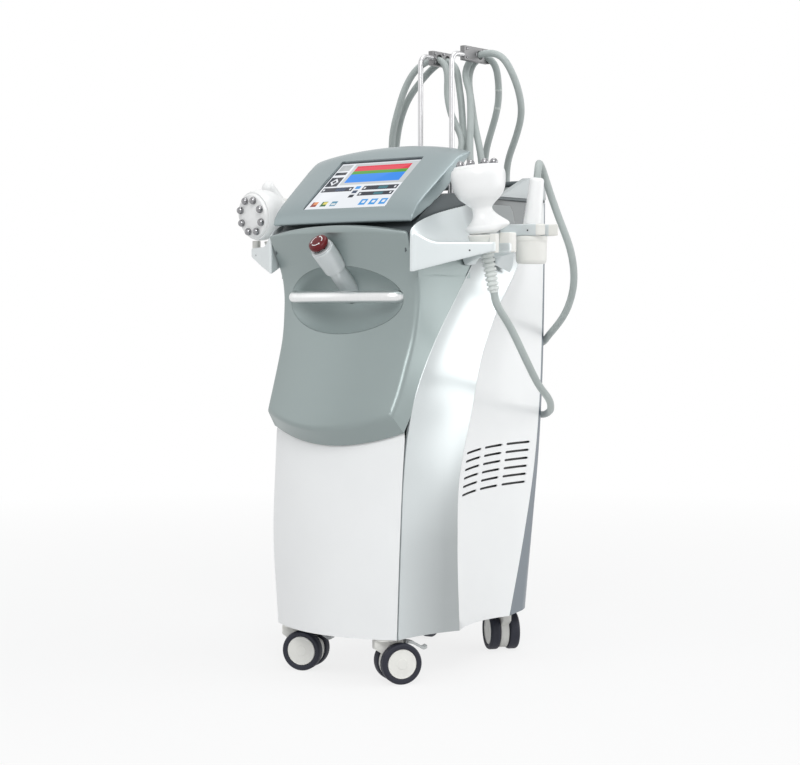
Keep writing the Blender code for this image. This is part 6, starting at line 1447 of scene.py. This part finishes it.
def make_handpieces():
    """Two large handpieces of bowl, plate, domes and relief, the small handle and the round-nosed wand."""
    right, right_relief, left, left_relief, handle, wand = handpiece_frames()
    pair = (("right", right, right_relief, 0.0), ("left", left, left_relief, 2.4))
    for word, matrix, relief, heading in pair:
        head = word + "_electrode_head"
        piece(word + "_bowl", bowl_shells(matrix, heading), FINISH["handpiece"], word + "_bowl_body")
        piece(word + "_face_plate", head_shells(matrix), FINISH["handpiece"], head)
        piece(word + "_domes", dome_shells(matrix), FINISH["chrome"], body=NODE_BODY[head])
        piece(word + "_relief", relief_shells(*relief), FINISH["relief"], word + "_strain_relief")
    profile = [(0, HANDLE_LENGTH), (0.010, HANDLE_LENGTH), (0.014, 0.144), (0.0165, 0.090), (0.018, 0.0592),
               (0.018, 0.003), (0.015, 0), (0, 0)]
    shell = revolved(rounded(profile, 0.003), place_along(*handle))
    piece("small_handle", [shell], FINISH["handpiece"], "right_small_handle")
    profile = [(0, WAND_LENGTH)]
    profile += [(WAND_RADIUS * math.sin(a), WAND_LENGTH - WAND_RADIUS * (1 - math.cos(a)))
                for a in np.linspace(0, math.pi / 2, 20)[1:]]
    profile += [(WAND_RADIUS, 0.003), (0.0115, 0), (0, 0)]
    piece("small_wand", [revolved(profile, place_along(*wand))], FINISH["handpiece"], "left_small_wand")


def make_hanger():
    """Posts that bend back on a quarter circle, clamps bored for the hoses, screws, and hose fittings."""
    turn = np.linspace(0, math.pi / 2, 14)
    bend = [(POST_Y + POST_BEND * (1 - math.cos(a)), POST_TOP - POST_BEND * (1 - math.sin(a))) for a in turn]
    for word, side in SIDES:
        x = side * POST_X
        route = [(x, POST_Y, z) for z in np.linspace(0.945, 1.228, 12)]
        route += [(x, y, z) for y, z in bend] + [(x, 0.1477, POST_TOP)]
        piece(word + "_hanger_post", [piped(route, 0.0055, 32)], FINISH["steel"], word + "_post")
    screw = rounded([(0, 0.0060), (0.0030, 0.0060), (0.0030, 0.0072), (0.0012, 0.0078), (0, 0.0074)], 0.0004)
    for word, x, z, back, bores in CLAMPS:
        bar = block((0.012, back - CLAMP_FRONT, 0.030), (x, (back + CLAMP_FRONT) / 2, z), 0.001, 0.001)
        clamp = piece(word + "_clamp_block", [bar], FINISH["clamp"], word + "_hose_clamp")
        cutters = [revolved(rod(0.0094, -0.018, 0.018), frame_at((x, y, z), (1, 0, 0), (0, 1, 0)), 48)
                   for y in bores]
        cut(clamp, cutters, word + "_clamp_bores")
        places = [(0.157, 0.009), (0.157, -0.009), (bores[0] - 0.0135, 0.0), (sum(bores) / 2, 0.011)]
        screws = [revolved(screw, frame_at((x, y, z + rise), (1, 0, 0), (0, 1, 0)), 28) for y, rise in places]
        piece(word + "_clamp_screws", screws, FINISH["chrome"])
    made = [block((0.110, 0.071, 0.006), (0.044, 0.1525, DECK_TOP + 0.003), 0.001, 0.004)]
    profile = [(0, FITTING_HEIGHT), (0.0073, FITTING_HEIGHT), (0.010, 0.0252), (0.0125, 0.018),
               (0.0125, 0.003), (0, 0.003)]
    for x, y in STUBS.values():
        made.append(revolved(rounded(profile, 0.0015), Matrix.Translation((x, y, DECK_TOP)), 48))
    piece("hose_fittings", made, FINISH["deck"], "hose_manifold")


def make_casters():
    """Four casters of two wheels on a round-sided fork that trails its swivel."""
    tyre = [(0.0290, 0.0300), (0.0320, 0.0312), (0.0372, 0.0320), (0.0400, 0.0282), (0.0400, 0.0140),
            (0.0385, 0.0103), (0.0290, 0.0103)]
    hub = [(0, 0.0300), (0.010, 0.0301), (0.0108, 0.0294), (0.0262, 0.0294), (0.0270, 0.0301),
           (0.0286, 0.0296), (0.0286, 0.0110), (0, 0.0110)]
    outline = [(-0.023, 0.0857), (-0.023, 0.068)]
    outline += [(TRAIL + 0.036 * math.cos(a), AXLE_LEVEL + 0.036 * math.sin(a))
                for a in np.radians(np.linspace(152, 388, 50))]
    outline += [(0.037, 0.071), (0.034, 0.0857)]
    for name, x, y, heading in CASTERS:
        local = Matrix.Translation((x, y, 0)) @ Matrix.Rotation(math.radians(heading), 4, "Z")
        axle = local @ frame_at((TRAIL, 0, AXLE_LEVEL), (0, 1, 0), (0, 0, 1))
        tyres, hubs = [], []
        for _, side in SIDES:
            tyres.append(revolved(rounded_loop([(r, side * h) for r, h in tyre], 0.0015), axle, ring=True))
            hubs.append(revolved(rounded([(r, side * h) for r, h in hub], 0.0006), axle))
        piece(name + "_tyres", tyres, FINISH["tyre"], name + "_wheels")
        piece(name + "_hubs", hubs, FINISH["hub"], name + "_wheels", stands=False)
        upright = local @ Matrix.Rotation(math.radians(90), 4, "X")
        body = slab(outline, -0.009, 0.009, upright, 0.0015, (0.020, 0.055))
        disc = revolved(rounded(rod(0.023, 0.0837, 0.0877), 0.0008), local, 64)
        shaft = revolved(rod(0.005, -0.0108, 0.0108), axle, 32)
        piece(name + "_fork", [body, disc, shaft], FINISH["cream"], name + "_yoke")
        if name.startswith("front"):
            make_pedal(name, local)


def make_pedal(name, local):
    """Brake pedal: a barrel at its hinge and a blade along a cubic curve that runs out, drops and curls up at
    its end. Its thickness falls by t^8 towards its long edges."""
    drops = np.array([(0.00, 0.0), (0.30, -0.06), (0.60, -0.22), (0.86, -0.33), (1.00, -0.27)]) * PEDAL_LENGTH
    along = np.linspace(0, PEDAL_LENGTH, 26)
    drop = smooth_line(along, drops[:, 0], drops[:, 1])
    across = np.linspace(-1, 1, 15)[None, :]
    half = PEDAL_THICK / 2 - 0.0006 * across**8
    x = (PEDAL_START + along - 0.0025 * (along / PEDAL_LENGTH) ** 3)[:, None]
    z = (PEDAL_LEVEL + drop)[:, None]
    wide = PEDAL_HALF * across
    blade = wall(moved(stack(x, wide, z + half), local), moved(stack(x, wide, z - half), local))
    hinge = local @ frame_at((PEDAL_START, 0, PEDAL_LEVEL), (0, 1, 0), (1, 0, 0))
    barrel = revolved(rounded(rod(0.0035, -PEDAL_HALF, PEDAL_HALF), 0.0005), hinge, 40)
    piece(name + "_pedal_plate", [blade, barrel], FINISH["pedal"], name + "_brake_pedal")


def make_camera():
    """Camera fitted to the photograph: its place, heading and pitch."""
    data = bpy.data.cameras.new("view")
    data.lens = 78.9
    data.sensor_width = 36.0
    data.clip_end = 60.0
    camera = bpy.data.objects.new("view", data)
    bpy.context.scene.collection.objects.link(camera)
    pitch = math.radians(2.58)
    across, back = -0.625, 0.781
    ahead = Vector((across * math.cos(pitch), back * math.cos(pitch), -math.sin(pitch)))
    camera.location = (2.245, -2.816, 0.734)
    camera.rotation_euler = ahead.to_track_quat("-Z", "Y").to_euler()
    bpy.context.scene.camera = camera


def area_light(name, place, target, size, power, tall=None):
    """Soft lamp at a place, turned to a target; size is its width and tall its height if that differs."""
    data = bpy.data.lights.new(name, "AREA")
    data.energy = power
    data.shape = "RECTANGLE"
    data.size = size
    data.size_y = tall or size
    lamp = bpy.data.objects.new(name, data)
    lamp.location = place
    lamp.rotation_euler = (Vector(target) - Vector(place)).to_track_quat("-Z", "Y").to_euler()
    bpy.context.scene.collection.objects.link(lamp)


def make_stage():
    """White world to camera, mirror and see-through rays and a softer one to light by, floor and lamps."""
    bpy.context.scene.view_settings.view_transform = "Standard"
    world = bpy.context.scene.world or bpy.data.worlds.new("studio")
    bpy.context.scene.world = world
    world.use_nodes = True
    sky = Tree(world.node_tree)
    sky.tree.nodes.clear()
    soft = sky.node("ShaderNodeBackground", None, {0: (0.97, 0.985, 1.0, 1.0), 1: 0.55})
    seen = sky.node("ShaderNodeBackground", None, {0: (1.0, 1.0, 1.0, 1.0), 1: 1.0})
    shown = sky.node("ShaderNodeMixShader", None, {0: sky.in_view(), 1: soft, 2: seen})
    sky.node("ShaderNodeOutputWorld", None, {0: shown})
    turn = np.linspace(0, 2 * np.pi, 96, endpoint=False)
    ring = np.stack([7.0 * np.cos(turn), 7.0 * np.sin(turn), 0 * turn], 1)
    mesh = bpy.data.meshes.new("floor")
    mesh.from_pydata(ring.tolist(), [], [list(range(96))])
    floor = new_object("floor", mesh, floor_paint())
    area_light("key", (1.7, -2.2, 2.6), (0, 0, 0.6), 1.6, 44)
    area_light("side", (2.5, 2.1, 1.30), (0, 0, 0.70), 2.6, 27, 2.0)
    area_light("fill", (-2.4, -1.8, 1.5), (0, 0, 0.6), 1.8, 4, 2.2)
    area_light("top", (0.2, 0.1, 3.2), (0, 0, 0.7), 1.4, 15)


def floor_paint():
    """Pale floor that keeps the soft shadow. In view it turns to white by 0.80 + 0.20 clipped 0.4 (r - 0.8),
    with r from the middle."""
    paint = Paint("floor", 0.9)
    cloud = paint.noise(2.0, 2.0)
    paint.feed("Base Color", paint.mix(cloud, (0.80, 0.80, 0.80), (0.82, 0.82, 0.82)))
    paint.shader.inputs["Specular IOR Level"].default_value = 0.0
    white = paint.node("ShaderNodeEmission", None, {0: (1.0, 1.0, 1.0, 1.0), 1: 1.0})
    run = paint.node("ShaderNodeVectorMath", {"operation": "LENGTH"}, {0: paint.place()}, 1)
    share = paint.in_view() * (0.80 + ((run - 0.8) * 0.4).clipped() * 0.20)
    lit = Flow(paint, paint.shader.outputs[0])
    shown = paint.node("ShaderNodeMixShader", None, {0: share, 1: lit, 2: white})
    paint.tree.links.new(shown.socket, paint.tree.nodes["Material Output"].inputs[0])
    return paint.material


class MACHINE_OT_hoses(bpy.types.Operator):
    """Makes the four hoses from the deck's fittings over the hanger to their handpieces."""

    bl_idname = "machine.hoses"
    bl_label = "Hoses"

    def execute(self, context):
        make_finishes()
        make_hoses()
        return {"FINISHED"}


class MACHINE_OT_front(bpy.types.Operator):
    """Makes the lower front panel, the shield with its oval dish, and the grip."""

    bl_idname = "machine.front"
    bl_label = "Front shells"

    def execute(self, context):
        make_front()
        return {"FINISHED"}


class MACHINE_OT_stop_knob(bpy.types.Operator):
    """Makes the stop button on its leaning post."""

    bl_idname = "machine.stop_knob"
    bl_label = "Stop button"

    def execute(self, context):
        make_stop_knob()
        return {"FINISHED"}


class MACHINE_OT_flanks(bpy.types.Operator):
    """Makes the silver bands and the louvred white side panels."""

    bl_idname = "machine.flanks"
    bl_label = "Side shells"

    def execute(self, context):
        make_flanks()
        return {"FINISHED"}


class MACHINE_OT_rear(bpy.types.Operator):
    """Makes the rear shell and finishes the fan, the inlet and the modules inside."""

    bl_idname = "machine.rear"
    bl_label = "Rear shell and modules"

    def execute(self, context):
        make_rear()
        return {"FINISHED"}


class MACHINE_OT_deck(bpy.types.Operator):
    """Makes the sloping deck, the two cheeks and the push handle."""

    bl_idname = "machine.deck"
    bl_label = "Deck and push handle"

    def execute(self, context):
        make_deck()
        return {"FINISHED"}


class MACHINE_OT_trays(bpy.types.Operator):
    """Makes the scooped trays with their holders, cup and wand socket."""

    bl_idname = "machine.trays"
    bl_label = "Trays and holders"

    def execute(self, context):
        make_trays()
        return {"FINISHED"}


class MACHINE_OT_display(bpy.types.Operator):
    """Makes the tilting display with its lit screen."""

    bl_idname = "machine.display"
    bl_label = "Display"

    def execute(self, context):
        make_display()
        return {"FINISHED"}


class MACHINE_OT_handpieces(bpy.types.Operator):
    """Makes the two eight-dome handpieces, the small handle and the wand."""

    bl_idname = "machine.handpieces"
    bl_label = "Handpieces"

    def execute(self, context):
        make_handpieces()
        return {"FINISHED"}


class MACHINE_OT_hanger(bpy.types.Operator):
    """Makes the posts, clamps and screws of the hose hanger, and the hose fittings."""

    bl_idname = "machine.hanger"
    bl_label = "Hose hanger"

    def execute(self, context):
        make_hanger()
        return {"FINISHED"}


class MACHINE_OT_casters(bpy.types.Operator):
    """Makes the four twin-wheel casters and the two brake pedals."""

    bl_idname = "machine.casters"
    bl_label = "Casters"

    def execute(self, context):
        make_casters()
        return {"FINISHED"}


class MACHINE_OT_studio(bpy.types.Operator):
    """Makes the camera, the floor, the lights and the white surroundings."""

    bl_idname = "machine.studio"
    bl_label = "Studio"

    def execute(self, context):
        make_camera()
        make_stage()
        return {"FINISHED"}


OPERATORS = (
    MACHINE_OT_studio, MACHINE_OT_hoses, MACHINE_OT_front, MACHINE_OT_stop_knob, MACHINE_OT_flanks,
    MACHINE_OT_rear, MACHINE_OT_deck, MACHINE_OT_trays, MACHINE_OT_display, MACHINE_OT_handpieces,
    MACHINE_OT_hanger, MACHINE_OT_casters,
)


class MACHINE_PT_panel(bpy.types.Panel):
    """Lists the machine's pieces, sizes and colours."""

    bl_idname = "MACHINE_PT_panel"
    bl_label = "Body contouring machine"
    bl_space_type = "VIEW_3D"
    bl_region_type = "UI"
    bl_category = "Machine"

    def draw(self, context):
        layout = self.layout
        for group in (context.scene.machine_sizes, context.scene.machine_colours):
            box = layout.box()
            for name in group.__annotations__:
                box.prop(group, name)
        for step in OPERATORS:
            layout.operator(step.bl_idname)


CLASSES = (MachineColours, MachineSizes, *OPERATORS, MACHINE_PT_panel)


def register():
    for one in CLASSES:
        bpy.utils.register_class(one)
    bpy.types.Scene.machine_colours = PointerProperty(type=MachineColours)
    bpy.types.Scene.machine_sizes = PointerProperty(type=MachineSizes)


def unregister():
    del bpy.types.Scene.machine_colours
    del bpy.types.Scene.machine_sizes
    for one in reversed(CLASSES):
        bpy.utils.unregister_class(one)


def main():
    register()
    for step in OPERATORS:
        group, name = step.bl_idname.split(".")
        getattr(getattr(bpy.ops, group), name)()
    bpy.context.view_layer.update()


if __name__ == "__main__":
    main()
